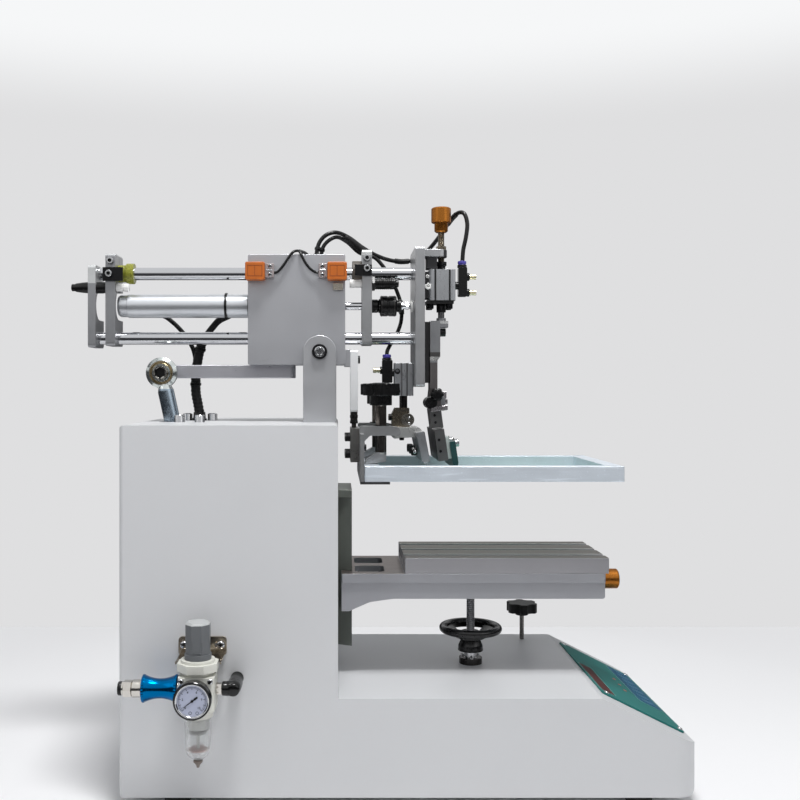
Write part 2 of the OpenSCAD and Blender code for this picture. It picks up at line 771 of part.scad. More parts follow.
rail_x1 = frame_x0 - slide_gap;
rail_t = 4.5;
module screen_holder() {
    foot_z0 = frame_z1;
    sleeve_r = 6.8;
    head_z1 = arm_z0 + 7.4;
    color("lightgray") difference() {
        union() {
            block([hanger_x0, -32, frame_z1], [rail_x1 - rail_t + cut, 32, head_z1]);
            block([rail_x1 - rail_t, -frame_w / 2, frame_z0 - 3], [rail_x1, frame_w / 2, arm_z0 + 3]);
            block([rail_x1 - cut, -frame_w / 2, frame_z0 - 3], [frame_x0 + 30, frame_w / 2, frame_z0]);
            for (y = [-20, 20], z = [frame_z1 + 9, head_z1 - 12])
                rod_x([hanger_x0 - 7, y, z], 4.5, 7 + cut);
            for (y = [-clamp_y, clamp_y]) {
                side_slab([
                    [rail_x1 - rail_t, arm_z0 - 8, 0], [rail_x1, arm_z0 - 8, 4],
                    [rail_x1 + 8, arm_z0, 4], [clamp_x + 23, arm_z0, 2],
                    [clamp_x + 23, arm_z0 + arm_t - 2, 4], [clamp_x + 12, arm_z0 + arm_t, 2],
                    [rail_x1 - rail_t, arm_z0 + arm_t, 3]
                ], 20, y);
                rod_z([clamp_x, y, foot_z0 + 10], sleeve_r, arm_z0 - foot_z0 - 9);
                side_slab([
                    [frame_x0 + 2, foot_z0, 0], [clamp_x + 6, foot_z0 + 3, 2],
                    [clamp_x + 6, foot_z0 + 12, 2], [clamp_x - 6, foot_z0 + 14, 2],
                    [frame_x0 + 2, foot_z0 + 6, 2]
                ], 20, y);
            }
        }
        for (y = [-clamp_y, clamp_y])
            rod_z([clamp_x, y, foot_z0 + 14], 4 + run_fit, 100);
    }
}

module screen_frame() {
    color("lightsteelblue") difference() {
        plan_slab(rect(frame_x0, -frame_w / 2, frame_x1, frame_w / 2, 2), frame_z0, frame_h);
        block([frame_x0 + frame_rail, -frame_w / 2 + frame_rail, frame_z0 - cut],
            [frame_x1 - frame_rail, frame_w / 2 - frame_rail, frame_z1 + cut]);
    }
}

mesh_t = 0.8;
module screen_mesh() {
    color("teal")
        block([frame_x0 + frame_rail, -frame_w / 2 + frame_rail, frame_z0 + 0.2],
            [frame_x1 - frame_rail, frame_w / 2 - frame_rail, frame_z0 + 0.2 + mesh_t]);
}

module slide_rods() {
    color("silver")
        for (z = [rod_z0, rod_z1])
            rod_x([end_plate_x0, 0, z], rod_r, front_x1 - end_plate_x0);
}

// A plate across both guide rods, notched for the stroke cylinder and split for its clamp screws
module rod_plate(x, t, below, above, notch, shock_z, split) {
    difference() {
        front_slab(rect(-clamp_w / 2, rod_z0 - below, clamp_w / 2, rod_z1 + above, 4), x, t);
        for (z = [rod_z0, rod_z1])
            rod_x([x - cut, 0, z], rod_r + run_fit, t + 2 * cut);
        if (notch) {
            rod_x([x - cut, 0, stroke_z], notch_r, t + 2 * cut);
            block([x - cut, 0, stroke_z - notch_r], [x + t + cut, clamp_w, stroke_z + notch_r]);
        } else
            rod_x([x - cut, 0, stroke_z], piston_r + run_fit, t + 2 * cut);
        rod_x([x - cut, -shock_y, shock_z], shock_r + run_fit, t + 2 * cut);
        if (split)
            block([x - cut, -0.8, rod_z1], [x + t + cut, 0.8, rod_z1 + above + cut]);
    }
}

rear_shock_z = stroke_z + 22;
front_shock_z = stroke_z + 27;
module rear_plates() {
    color("silver") {
        rod_plate(end_plate_x0, end_plate_t, 12, 9, true, rear_shock_z, false);
        rod_plate(stop_plate_x0, stop_plate_t, 10, 23, true, rear_shock_z, true);
    }
}

module front_stop_plate() {
    color("silver") rod_plate(front_stop_x0, stop_plate_t, 9, 28, false, front_shock_z, true);
}

module end_stops() {
    front_bumper_t = front_gap - clear - 4;
    rear_x = stop_plate_x0 + stop_plate_t;
    tail_x = end_plate_x0 - 22;
    bumper(rear_x, bumper_t, bumper_r - 2);
    bumper(rear_x + bumper_t, bumper_t, bumper_r);
    bumper(front_stop_x0 - front_bumper_t, front_bumper_t, bumper_r + 3);
    color("dimgray") {
        translate([tail_x, -shock_y, rear_shock_z]) rotate([0, 90, 0]) rotate_extrude() polygon([
            [0, 0], [4.5, 0], [4.5, 4], [shock_r - 1.5, 6], [shock_r, 20],
            [shock_r, rear_x - tail_x], [0, rear_x - tail_x]
        ]);
        rod_x([rear_x, -shock_y, rear_shock_z], shock_r - 2, 1.6 * bumper_t);
        rod_x([front_stop_x0, -shock_y, front_shock_z], shock_r, stop_plate_t + 30);
        hex_x([front_stop_x1, -shock_y, front_shock_z], 2 * shock_r + 3, 4);
        rod_x([block_x1 + clear + 0.5, -shock_y, front_shock_z], shock_r - 2, front_gap - clear - 0.5);
    }
}

// A ring bumper on the upper guide rod
module bumper(x, t, r) {
    color("darkolivegreen") difference() {
        rod_x([x, 0, rod_z1], r, t);
        rod_x([x - cut, 0, rod_z1], rod_r + run_fit, t + 2 * cut);
        rod_x([x - cut, -shock_y, rear_shock_z], shock_r + run_fit, t + 2 * cut);
        rod_x([x - cut, -shock_y, front_shock_z], shock_r + run_fit, t + 2 * cut);
    }
}

module piston_coupling() {
    color("dimgray") {
        rod_x([block_x0 - 38, 0, stroke_z], piston_r, front_stop_x1 + 38 - block_x0);
        translate([front_stop_x1, 0, stroke_z]) rotate([0, 90, 0]) rotate_extrude() polygon([
            [0, 0], [8.5, 0], [8.5, 8], [7, 9], [7, 11], [12, 11], [13, 12], [13, 20], [12.4, 21],
            [12.4, 22], [13, 23], [13, 31], [12, 32], [7.5, 32], [7.5, 34], [8.5, 35], [8.5, 38],
            [0, 38]
        ]);
        hex_x([front_stop_x1 + 9, 0, stroke_z], 17, 26);
        rod_x([front_stop_x1 + 38, 0, stroke_z], 4, front_x0 - front_stop_x1 - 38);
        rod_x([front_x0 - 3, 0, stroke_z], 9, 3);
    }
}

module front_plate() {
    lip_w = 30;
    lip_x1 = squeegee_x + 7;
    color("silver") difference() {
        union() {
            front_slab(rect(-front_plate_w / 2, front_z0, front_plate_w / 2, front_z1, 4),
                front_x0, front_plate_t);
            plan_slab([
                [front_x1 - cut, -lip_w / 2, 0], [lip_x1, -lip_w / 2, 12], [lip_x1, lip_w / 2, 12],
                [front_x1 - cut, lip_w / 2, 0]
            ], front_z1 - lip_t, lip_t);
            block([front_x1 + 5, -10, front_z1 - lip_t - 15], [squeegee_x - 6, 10, front_z1 - lip_t]);
        }
        for (z = [rod_z0, rod_z1])
            rod_x([front_x0 - cut, 0, z], rod_r + run_fit, front_plate_t + 2 * cut);
        rod_z([squeegee_x, 0, front_z1 - lip_t - cut], 4 + run_fit, lip_t + 2 * cut);
    }
}

module pressure_knob() {
    color("peru") {
        translate([squeegee_x, 0, knob_z0]) knurled_knob();
        rod_z([squeegee_x, 0, squeegee_cyl_z1 + slide_gap], 4, knob_z0 - squeegee_cyl_z1 - slide_gap);
    }
}

module squeegee_cylinder() {
    x0 = squeegee_x - squeegee_cyl_l / 2;
    x1 = squeegee_x + squeegee_cyl_l / 2;
    foot_t = 4;
    groove_w = 2.4;
    color("silver") difference() {
        union() {
            plan_slab(rect(x0, -squeegee_cyl_w / 2, x1, squeegee_cyl_w / 2, 3),
                squeegee_cyl_z0, squeegee_cyl_h);
            block([front_x1, -15, squeegee_cyl_z0 + 3], [x0, 15, squeegee_cyl_z1 - 3]);
            block([x0 - 3, -14, squeegee_cyl_z0 - foot_t], [x1 - 2, 14, squeegee_cyl_z0]);
            for (x = [x0 + 2, x1 - 7], y = [-9, 9])
                rod_z([x, y, squeegee_cyl_z0 - foot_t - 6], 4, 6);
            rod_z([squeegee_x, 0, squeegee_cyl_z0 - foot_t - 10], 5.5, 11);
        }
        for (y = [-1, 1], x = [-9, 9])
            block([squeegee_x + x - groove_w / 2, y * squeegee_cyl_w / 2 - 1.8, squeegee_cyl_z0 - cut],
                [squeegee_x + x + groove_w / 2, y * squeegee_cyl_w / 2 + 1.8, squeegee_cyl_z1 + cut]);
        rod_z([squeegee_x, 0, squeegee_cyl_z0 - 20], squeegee_rod_r + run_fit, 47);
    }
}

guide_x1 = squeegee_x - 15.5;
module squeegee_guide() {
    color("dimgray")
        block([front_x1, -10, front_z0 + 5], [guide_x1, 10, rod_z0 + 20.5]);
}

module squeegee_arm() {
    plate_x0 = guide_x1 + slide_gap;
    plate_x1 = plate_x0 + 12.7;
    plate_z1 = rod_z0 + 21.5;
    step_z = front_z0 + 33;
    color("silver") {
        rod_z([squeegee_x, 0, plate_z1 - 4], squeegee_rod_r, squeegee_cyl_z0 + 24 - plate_z1);
        rod_z([squeegee_x, 0, plate_z1], squeegee_rod_r + 2, 4);
        block([plate_x0, -10, plate_z1 - 8], [squeegee_x + 8, 10, plate_z1]);
        side_slab([
            [plate_x0, front_z0 - 2, 0], [plate_x1 - 3.5, front_z0 - 2, 1], [plate_x1 - 3.5, step_z, 1],
            [plate_x1, step_z + 5, 1], [plate_x1, plate_z1, 2], [plate_x0, plate_z1, 1]
        ], 28);
        rod_x([plate_x1 - cut, 0, plate_z1 - 14], 5, 8 + cut);
        side_slab([
            [plate_x0 - 3, front_z0 - 27.5, 2], [plate_x1 - 3, front_z0 - 27.5, 2],
            [plate_x1 - 3.5, front_z0 - 1, 0], [plate_x0, front_z0 - 1, 0]
        ], 24);
        rod_y([plate_x0 + 1, -17, front_z0 - 20], 7.5, 34);
        side_slab([
            [plate_x0 + 2, front_z0 - 27, 1], [plate_x1 + 6, front_z0 - 25, 1],
            [plate_x1 + 6, front_z0 - 13, 1], [plate_x0 + 2, front_z0 - 11, 1]
        ], 32);
        translate([plate_x0 + 7, 0, front_z0 - 12]) cylinder(r = 3, h = 3);
        translate([plate_x1 + 6, 0, front_z0 - 19]) rotate([0, 90, 0]) cylinder(r = 3, h = 2);
    }
}

holder_z1 = front_z0 - 27.5;
holder_x0 = front_x1 + 7.4;
holder_lean = 8;
body_e = 12;
plate_e = 16;
screw_d = 44;
// A point on the leaning holder, d below its top and e before its back
function lean(d, e) = [
    holder_x0 + d * sin(holder_lean) + e * cos(holder_lean),
    holder_z1 - d * cos(holder_lean) + (e - plate_e) * sin(holder_lean)
];
module squeegee_holder() {
    lower_d = 62;
    color("gainsboro") {
        side_slab([
            [holder_x0, holder_z1, 1], [each lean(24, 0), 1], [each lean(24, 15), 1],
            [holder_x0 + 15, holder_z1, 1]
        ], 32);
        side_slab([
            [each lean(23, 0), 1], [each lean(lower_d, 0), 1], [each lean(lower_d, body_e), 1],
            [each lean(23, body_e), 1]
        ], squeegee_w - 10);
        side_slab([
            [each lean(34, body_e - cut), 0], [each lean(lower_d - 2, body_e - cut), 0],
            [each lean(lower_d - 2, plate_e), 2], [each lean(34, plate_e - 1.5), 1]
        ], squeegee_w - 10);
        for (y = [-squeegee_w / 4, squeegee_w / 4])
            translate([lean(screw_d, body_e)[0], y, lean(screw_d, body_e)[1]])
                rotate([0, 90 - holder_lean, 0]) cylinder(r = 3.5, h = 13);
    }
}

mesh_z1 = frame_z0 + 0.2 + mesh_t;
module squeegee_blade() {
    tip_z = mesh_z1 + squeegee_drop + slide_gap;
    tip_x = holder_x0 + (holder_z1 - tip_z) * tan(holder_lean) + plate_e + 2;
    back_e = plate_e + run_fit;
    color("darkslategray") difference() {
        side_slab([
            [each lean(40, back_e), 0], [each lean(66, back_e), 0], [tip_x, tip_z, 0.5],
            [tip_x + 3, tip_z, 0.5], [each lean(66, back_e + blade_t), 0],
            [each lean(40, back_e + blade_t), 1]
        ], squeegee_w);
        for (y = [-squeegee_w / 4, squeegee_w / 4])
            translate([lean(screw_d, body_e)[0], y, lean(screw_d, body_e)[1]])
                rotate([0, 90 - holder_lean, 0]) cylinder(r = 3.5 + run_fit, h = 30);
    }
}

module flood_cylinder() {
    half = 12;
    groove_w = 2;
    color("silver") difference() {
        plan_slab(rect(flood_x - half, -half, front_x0, half, 2), flood_cyl_z0, flood_cyl_z1 - flood_cyl_z0);
        for (y = [-1, 1], x = [-3, 4])
            block([flood_x + x - groove_w / 2, y * half - 1.4, flood_cyl_z0 - cut],
                [flood_x + x + groove_w / 2, y * half + 1.4, flood_cyl_z1 + cut]);
        rod_z([flood_x, 0, flood_cyl_z0 - cut], flood_rod_r + run_fit, 26);
    }
}

flood_arm_x1 = front_x0 + 13.5;
module flood_arm() {
    clamp_z1 = flood_cyl_z0 - 15;
    bar_z1 = clamp_z1 - 25;
    foot_z = frame_z1 + 2;
    color("gainsboro") {
        rod_z([flood_x, 0, clamp_z1 - 4], flood_rod_r, 30);
        side_slab([
            [flood_x - 15, bar_z1, 1], [flood_x + 7, bar_z1, 1], [flood_x + 7, clamp_z1, 1],
            [flood_x - 11, clamp_z1, 1], [flood_x - 15, clamp_z1 - 8, 1]
        ], 20);
        rod_y([flood_x + 5, -12, clamp_z1 - 15], 8, 24);
        rod_x([flood_x - 19, 0, clamp_z1 - 12], 4, 5);
        side_slab([
            [flood_x - 14, bar_z1 - 13, 1], [flood_x + 12, bar_z1 - 11, 0], [flood_arm_x1 - 10, bar_z1 - 11, 0],
            [flood_arm_x1 - 4, bar_z1 - 3, 2], [flood_arm_x1 - 8, bar_z1 + 1, 1],
            [flood_x - 12, bar_z1 + 1, 1]
        ], 60);
        side_slab([
            [flood_arm_x1 - 13, bar_z1 - 5, 0], [flood_arm_x1 - 6, foot_z, 0],
            [flood_arm_x1 + 4, foot_z, 1], [flood_arm_x1 - 3, bar_z1 - 3, 1]
        ], flood_w - 6);
        rod_x([flood_arm_x1 - 17, 0, foot_z + 12], 4.5, 10);
    }
}

module flood_blade() {
    tip_z = mesh_z1 + flood_drop + slide_gap;
    color("silver") side_slab([
        [flood_arm_x1 - 4, frame_z1 + 2, 0], [flood_arm_x1 - 1.5, tip_z, 0.3], [flood_arm_x1, tip_z, 0.3],
        [flood_arm_x1 + 1, frame_z1 + 2, 0]
    ], flood_w);
}

module speed_controllers() {
    squeegee_port_x = squeegee_x + squeegee_cyl_l / 2;
    flood_port_x = flood_x - 12;
    color("dimgray") {
        rod_x([squeegee_port_x, 0, squeegee_cyl_z0 + 20], 5, 6);
        block([squeegee_port_x + 5, -6, squeegee_cyl_z0 + 6], [squeegee_port_x + 16, 6, squeegee_cyl_z0 + 43]);
        rod_z([squeegee_port_x + 10, 0, squeegee_cyl_z0 + 42], 5.5, 9);
        for (z = [11, 31])
            rod_x([squeegee_port_x + 15, 0, squeegee_cyl_z0 + z], 3.5, 13);
        rod_x([flood_port_x - 3, 0, flood_cyl_z1 - 12], 5, 3);
        block([flood_port_x - 15, -6, flood_cyl_z1 - 25], [flood_port_x - 2, 6, flood_cyl_z1 + 4]);
        rod_z([flood_port_x - 9, 0, flood_cyl_z1 + 3], 5.5, 8);
        rod_x([flood_port_x - 27, 0, flood_cyl_z1 - 9], 3.5, 13);
    }
}

// Routes of the hoses from the head block's top to the squeegee's and the flood bar's cylinders
SQUEEGEE_LINE = [
    [-108, 16, 641], [-108, 16, 652], [-104, 17, 664], [-95, 19, 673], [-82, 23, 676],
    [-66, 29, 669], [-50, 34, 656], [-34, 38, 645], [-16, 43, 637], [2, 47, 633], [18, 49, 635],
    [32, 47, 644], [44, 42, 659], [55, 33, 677], [65, 22, 692], [74, 12, 701], [82, 5, 697],
    [84, 1, 682], [81, 0, 664], [77, 0, 648], [77, 0, 636]
];
FLOOD_LINE = [
    [-34, 37, 646], [-23, 35, 634], [-12, 33, 618], [-4, 31, 600], [1, 28, 582], [2, 25, 564],
    [-2, 21, 548], [-9, 16, 535], [-15, 8, 527], [-19, 2, 523], [-19, 0, 520], [-19, 0, 517.5]
];
module top_harness() {
    color("black") {
        tube(SQUEEGEE_LINE, 3);
        tube(FLOOD_LINE, 2.5);
    }
}

// A star knob with its stud, its axis at x, y
module star_knob(x, y) {
    star_z0 = arm_z0 + arm_t + 37;
    color("dimgray") translate([x, y, 0]) {
        difference() {
            rod_z([0, 0, star_z0], star_r, 14.5);
            for (i = [0 : star_lobes - 1])
                rotate(360 * (i + 0.5) / star_lobes)
                    rod_z([star_r + 4, 0, star_z0 - cut], 8, 14.5 + 2 * cut);
        }
        rod_z([0, 0, star_z0 - 12], 13.5, 12 + cut);
        rod_z([0, 0, arm_z0 + arm_t + slide_gap], 6.8, 37 - 12 - slide_gap + cut);
        rod_z([0, 0, frame_z1 + 17], 4, arm_z0 - frame_z1);
    }
}
module star_knob_near() {
    star_knob(clamp_x, -clamp_y);
}
module star_knob_far() {
    star_knob(clamp_x, clamp_y);
}

module knee() {
    root_drop = 15;
    flange_t = 11;
    body_inset = 4;
    color("silver") difference() {
        union() {
            side_slab([
                [knee_x0, knee_z0 - root_drop, 0], [knee_x0 + 9, knee_z0 - root_drop, 4],
                [knee_x0 + 34, knee_z0 - 4, 30], [knee_x0 + 62, knee_z0, 40], [knee_x1, knee_z0, 3],
                [knee_x1, knee_z1, 0], [knee_x0, knee_z1, 0]
            ], table_w - 2 * body_inset);
            plan_slab(rect(knee_x0, -table_w / 2, knee_x1, table_w / 2, 2), knee_z1 - flange_t, flange_t);
        }
        plan_slab(dovetail(slide_gap), knee_z0 - root_drop - cut, knee_h + root_drop + 2 * cut);
        block([groove_x0, -groove_hw, knee_z0 + 5.5], [groove_x1, groove_hw, knee_z1 + cut]);
        rod_x([groove_x1 - cut, 0, feed_z], feed_screw_r + run_fit, knee_x1 - groove_x1 + 2 * cut);
        for (y = [-29, 29])
            plan_slab(rect(column_x1 + 21, y - 20, column_x1 + 57, y + 20, 6), knee_z1 - 8, 8 + cut);
    }
}

module lift_screw() {
    color("silver") rod_z([wheel_x, 0, screw_end], lift_screw_r, knee_z0 - screw_end);
}

module handwheel() {
    rim_z = 28;
    rim_x = wheel_r - wheel_rim_r;
    color("dimgray") translate([wheel_x, 0, wheel_z0 + slide_gap]) difference() {
        rotate_extrude() difference() {
            union() {
                translate([rim_x, rim_z]) circle(wheel_rim_r);
                polygon([
                    [0, 0], [15.5, 0], [15.5, 6], [12.5, 13], [14, 14], [rim_x, rim_z - 3],
                    [rim_x, rim_z + 2], [14, 19], [12.5, 24], [0, 24]
                ]);
            }
            translate([-1, -1]) square([1 + lift_screw_r + run_fit, 40]);
        }
        for (a = [0, 180])
            rotate([0, 0, a + 45]) rotate_extrude(angle = 90)
                translate([18, 10]) square([rim_x - wheel_rim_r - 18, 20]);
    }
}

module feed_knob() {
    color("peru") {
        translate([knee_x1 + slide_gap, 0, feed_z]) rotate([0, 90, 0]) knurled_knob();
        rod_x([groove_x0 + 8, 0, feed_z], feed_screw_r, knee_x1 - groove_x0 - 8 + slide_gap);
    }
}

module table() {
    tongue_l = 60;
    tongue_x0 = groove_x0 + 2 * feed_travel;
    color("lightgray") difference() {
        union() {
            plan_slab(rect(table_x0, -table_w / 2, table_x1, table_w / 2, 1.5), table_z0, table_t);
            block([tongue_x0, -groove_hw + slide_gap, knee_z0 + 5.5 + slide_gap],
                [tongue_x0 + tongue_l, groove_hw - slide_gap, table_z0 + cut]);
        }
        for (i = [0 : slot_count - 1]) {
            y = (i - (slot_count - 1) / 2) * slot_pitch;
            block([table_x0 - cut, y - slot_mouth / 2, table_z1 - 8],
                [table_x1 + cut, y + slot_mouth / 2, table_z1 + cut]);
            block([table_x0 - cut, y - slot_head / 2, table_z1 - 13],
                [table_x1 + cut, y + slot_head / 2, table_z1 - 7]);
        }
        rod_x([tongue_x0 - cut, 0, feed_z], feed_screw_r + run_fit, tongue_l + 2 * cut);
    }
}

housing();
feet();
control_panel();
pivot_ears();
pivot_pin();
column_slide();
wheel_bearing();
stop_knob();
regulator_body();
regulator_knob();
filter_bowl();
pressure_gauge();
regulator_bracket();
air_fittings();
column_harness();
head_block();
lever_bar();
stroke_cylinder();
position_sensors();
screen_hanger();
screen_holder();
screen_frame();
screen_mesh();
rod_end();
slide_rods();
rear_plates();
front_stop_plate();
end_stops();
piston_coupling();
front_plate();
squeegee_cylinder();
squeegee_guide();
flood_cylinder();
speed_controllers();
top_harness();
squeegee_arm();
squeegee_holder();
squeegee_blade();
flood_arm();
flood_blade();
pressure_knob();
star_knob_near();
star_knob_far();
knee();
lift_screw();
handwheel();
feed_knob();
table();
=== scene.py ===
"""A bench screen printing machine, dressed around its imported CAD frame. Lengths below are in millimetres."""

import math

import bmesh
import bpy
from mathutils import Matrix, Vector


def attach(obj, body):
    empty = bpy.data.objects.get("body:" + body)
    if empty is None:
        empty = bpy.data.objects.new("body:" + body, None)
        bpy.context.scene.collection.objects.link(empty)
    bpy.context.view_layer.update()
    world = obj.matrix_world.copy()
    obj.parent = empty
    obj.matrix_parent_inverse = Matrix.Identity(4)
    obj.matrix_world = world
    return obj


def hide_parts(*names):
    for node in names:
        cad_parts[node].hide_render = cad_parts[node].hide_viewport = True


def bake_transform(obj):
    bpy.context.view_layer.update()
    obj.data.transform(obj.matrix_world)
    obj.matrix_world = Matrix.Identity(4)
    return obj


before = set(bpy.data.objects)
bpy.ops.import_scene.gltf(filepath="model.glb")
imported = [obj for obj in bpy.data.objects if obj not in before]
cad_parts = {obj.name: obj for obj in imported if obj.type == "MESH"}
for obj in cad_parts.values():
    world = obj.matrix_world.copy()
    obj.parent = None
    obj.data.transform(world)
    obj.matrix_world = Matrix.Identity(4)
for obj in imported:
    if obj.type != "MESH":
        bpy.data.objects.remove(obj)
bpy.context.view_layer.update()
scene = bpy.context.scene
MM = 0.001
AXES = {"x": (1, 0, 0), "y": (0, 1, 0), "z": (0, 0, 1)}


def srgb(r, g, b):
    """A colour given in display steps from 0 to 255, as linear values."""
    steps = [c / 255 for c in (r, g, b)]
    return tuple(c / 12.92 if c <= 0.04045 else ((c + 0.055) / 1.055) ** 2.4 for c in steps) + (1.0,)


def add(name, data):
    """A new object with its data, in the scene's collection."""
    thing = bpy.data.objects.new(name, data)
    scene.collection.objects.link(thing)
    return thing


class Nodes:
    """Adds shader nodes to the tree of a material or world. Each method returns the new node's output."""

    def __init__(self, owner):
        owner.use_nodes = True
        self.tree = owner.node_tree
        self.place = self.node("TexCoord").outputs

    def put(self, socket, value):
        """Links the socket to an output, or sets it to a constant."""
        if isinstance(value, bpy.types.NodeSocket):
            self.tree.links.new(value, socket)
        else:
            socket.default_value = value

    def node(self, kind, inputs=(), **settings):
        node = self.tree.nodes.new("ShaderNode" + kind)
        for key, value in settings.items():
            setattr(node, key, value)
        for socket, value in zip(node.inputs, inputs):
            self.put(socket, value)
        return node

    def math(self, operation, a, b=0.0):
        return self.node("Math", (a, b), operation=operation).outputs[0]

    def vector(self, operation, a, b=(0, 0, 0)):
        node = self.node("VectorMath", (a, b), operation=operation)
        return node.outputs["Value" if operation == "LENGTH" else "Vector"]

    def parts(self, vector):
        return self.node("SeparateXYZ", (vector,)).outputs

    def span(self, value, lo, hi, a=0.0, b=1.0, kind="LINEAR"):
        """The value's range from lo to hi, carried over to the range from a to b."""
        return self.node("MapRange", (value, lo, hi, a, b), interpolation_type=kind).outputs[0]

    def mix(self, share, a, b, kind="MIX"):
        node = self.node("Mix", (share,), data_type="RGBA", blend_type=kind)
        self.put(node.inputs[6], a)
        self.put(node.inputs[7], b)
        return node.outputs[2]

    def glow(self, colour):
        return self.node("Emission", (colour,)).outputs[0]

    def blend(self, share, a, b):
        return self.node("MixShader", (share, a, b)).outputs[0]

    def surface(self, shader):
        self.put(self.tree.nodes["Material Output"].inputs["Surface"], shader)


# Camera, floor, world and lamps. These are in metres

BACKDROP = srgb(223, 223, 224)
FLOOR_TONE = srgb(242, 242, 243)
FAR_FLOOR = srgb(240, 240, 242)
SKY_TOP = srgb(246, 247, 248)
SOFT_LIGHT = (0.38, 0.385, 0.395, 1)
DARK_CLOTH = (0.06, 0.061, 0.065, 1)
FLOOR_LINE = 0.703
FLOOR_HALF = 9
FADE_FROM, FADE_TO = 0.75, 1.7
BAND_LOW, BAND_HIGH = (0.78, 0.02), (2.2, 0.78)


def make_camera():
    data = bpy.data.cameras.new("camera")
    data.lens = 44.1
    data.sensor_width = 36
    data.shift_x = 0.0775
    data.shift_y = -0.015
    camera = add("camera", data)
    camera.location = (-0.081, -1.245, 0.475)
    camera.rotation_euler = (math.radians(90), 0, 0)
    scene.camera = camera


def make_floor():
    """A pale floor that keeps the shadow, and beyond the floor line the plain backdrop colour."""
    mesh = bpy.data.meshes.new("floor")
    corners = [(x * FLOOR_HALF, y * FLOOR_HALF, 0) for x, y in ((-1, -1), (1, -1), (1, 1), (-1, 1))]
    mesh.from_pydata(corners, [], [(0, 1, 2, 3)])
    mat = bpy.data.materials.new("floor_paper")
    n = Nodes(mat)
    paper = n.tree.nodes["Principled BSDF"]
    for key, value in (("Base Color", FLOOR_TONE), ("Roughness", 0.9), ("Specular IOR Level", 0.1)):
        paper.inputs[key].default_value = value
    point = n.place["Object"]
    fade = n.span(n.vector("LENGTH", point), FADE_FROM, FADE_TO, kind="SMOOTHSTEP")
    past_line = n.span(n.parts(point)["Y"], FLOOR_LINE - 0.004, FLOOR_LINE + 0.004)
    shown = n.blend(fade, paper.outputs[0], n.glow(FAR_FLOOR))
    n.surface(n.blend(past_line, shown, n.glow(BACKDROP)))
    mesh.materials.append(mat)
    add("floor", mesh)


def make_reflector():
    """A dark band round the set, which only reflections see, so that polished metal has its dark line."""
    n = 64
    turns = [(math.cos(2 * math.pi * i / n), math.sin(2 * math.pi * i / n)) for i in range(n)]
    mesh = bpy.data.meshes.new("dark_band")
    mesh.from_pydata([(r * x, r * y, z) for r, z in (BAND_LOW, BAND_HIGH) for x, y in turns], [],
        [(i, (i + 1) % n, n + (i + 1) % n, n + i) for i in range(n)])
    mat = bpy.data.materials.new("dark_cloth")
    cloth = Nodes(mat)
    cloth.surface(cloth.glow(DARK_CLOTH))
    mesh.materials.append(mat)
    band = add("dark_band", mesh)
    for ray in ("camera", "diffuse", "transmission", "volume_scatter", "shadow"):
        setattr(band, "visible_" + ray, False)


def make_world():
    """The backdrop for camera, glossy and transmission rays, and a plain soft light for the rest."""
    scene.world = bpy.data.worlds.new("studio")
    n = Nodes(scene.world)
    rise = n.span(n.parts(n.place["Generated"])["Z"], 0.25, 0.34, kind="SMOOTHSTEP")
    shown = n.mix(rise, BACKDROP, SKY_TOP)
    ray = n.node("LightPath").outputs
    seen = n.math("MAXIMUM", ray["Is Camera Ray"], ray["Is Glossy Ray"])
    seen = n.math("MAXIMUM", seen, ray["Is Transmission Ray"])
    n.put(n.tree.nodes["Background"].inputs["Color"], n.mix(seen, SOFT_LIGHT, shown))


def make_lamp(name, place, aim, size, power):
    data = bpy.data.lights.new(name, "AREA")
    data.shape = "RECTANGLE"
    data.size, data.size_y = size
    data.energy = power
    lamp = add(name, data)
    lamp.location = place
    lamp.rotation_euler = (Vector(aim) - Vector(place)).to_track_quat("-Z", "Y").to_euler()


scene.view_settings.view_transform = "Standard"
make_camera()
make_floor()
make_reflector()
make_world()
make_lamp("key", (0.1, -0.65, 2.4), (0.05, 0, 0.3), (0.55, 0.4), 42)
make_lamp("fill", (1.7, -1.4, 1.3), (0, 0, 0.35), (1.2, 1.2), 3)
make_lamp("left", (-1.9, -1.2, 1.7), (0, 0, 0.35), (1.0, 1.4), 3)


# Materials

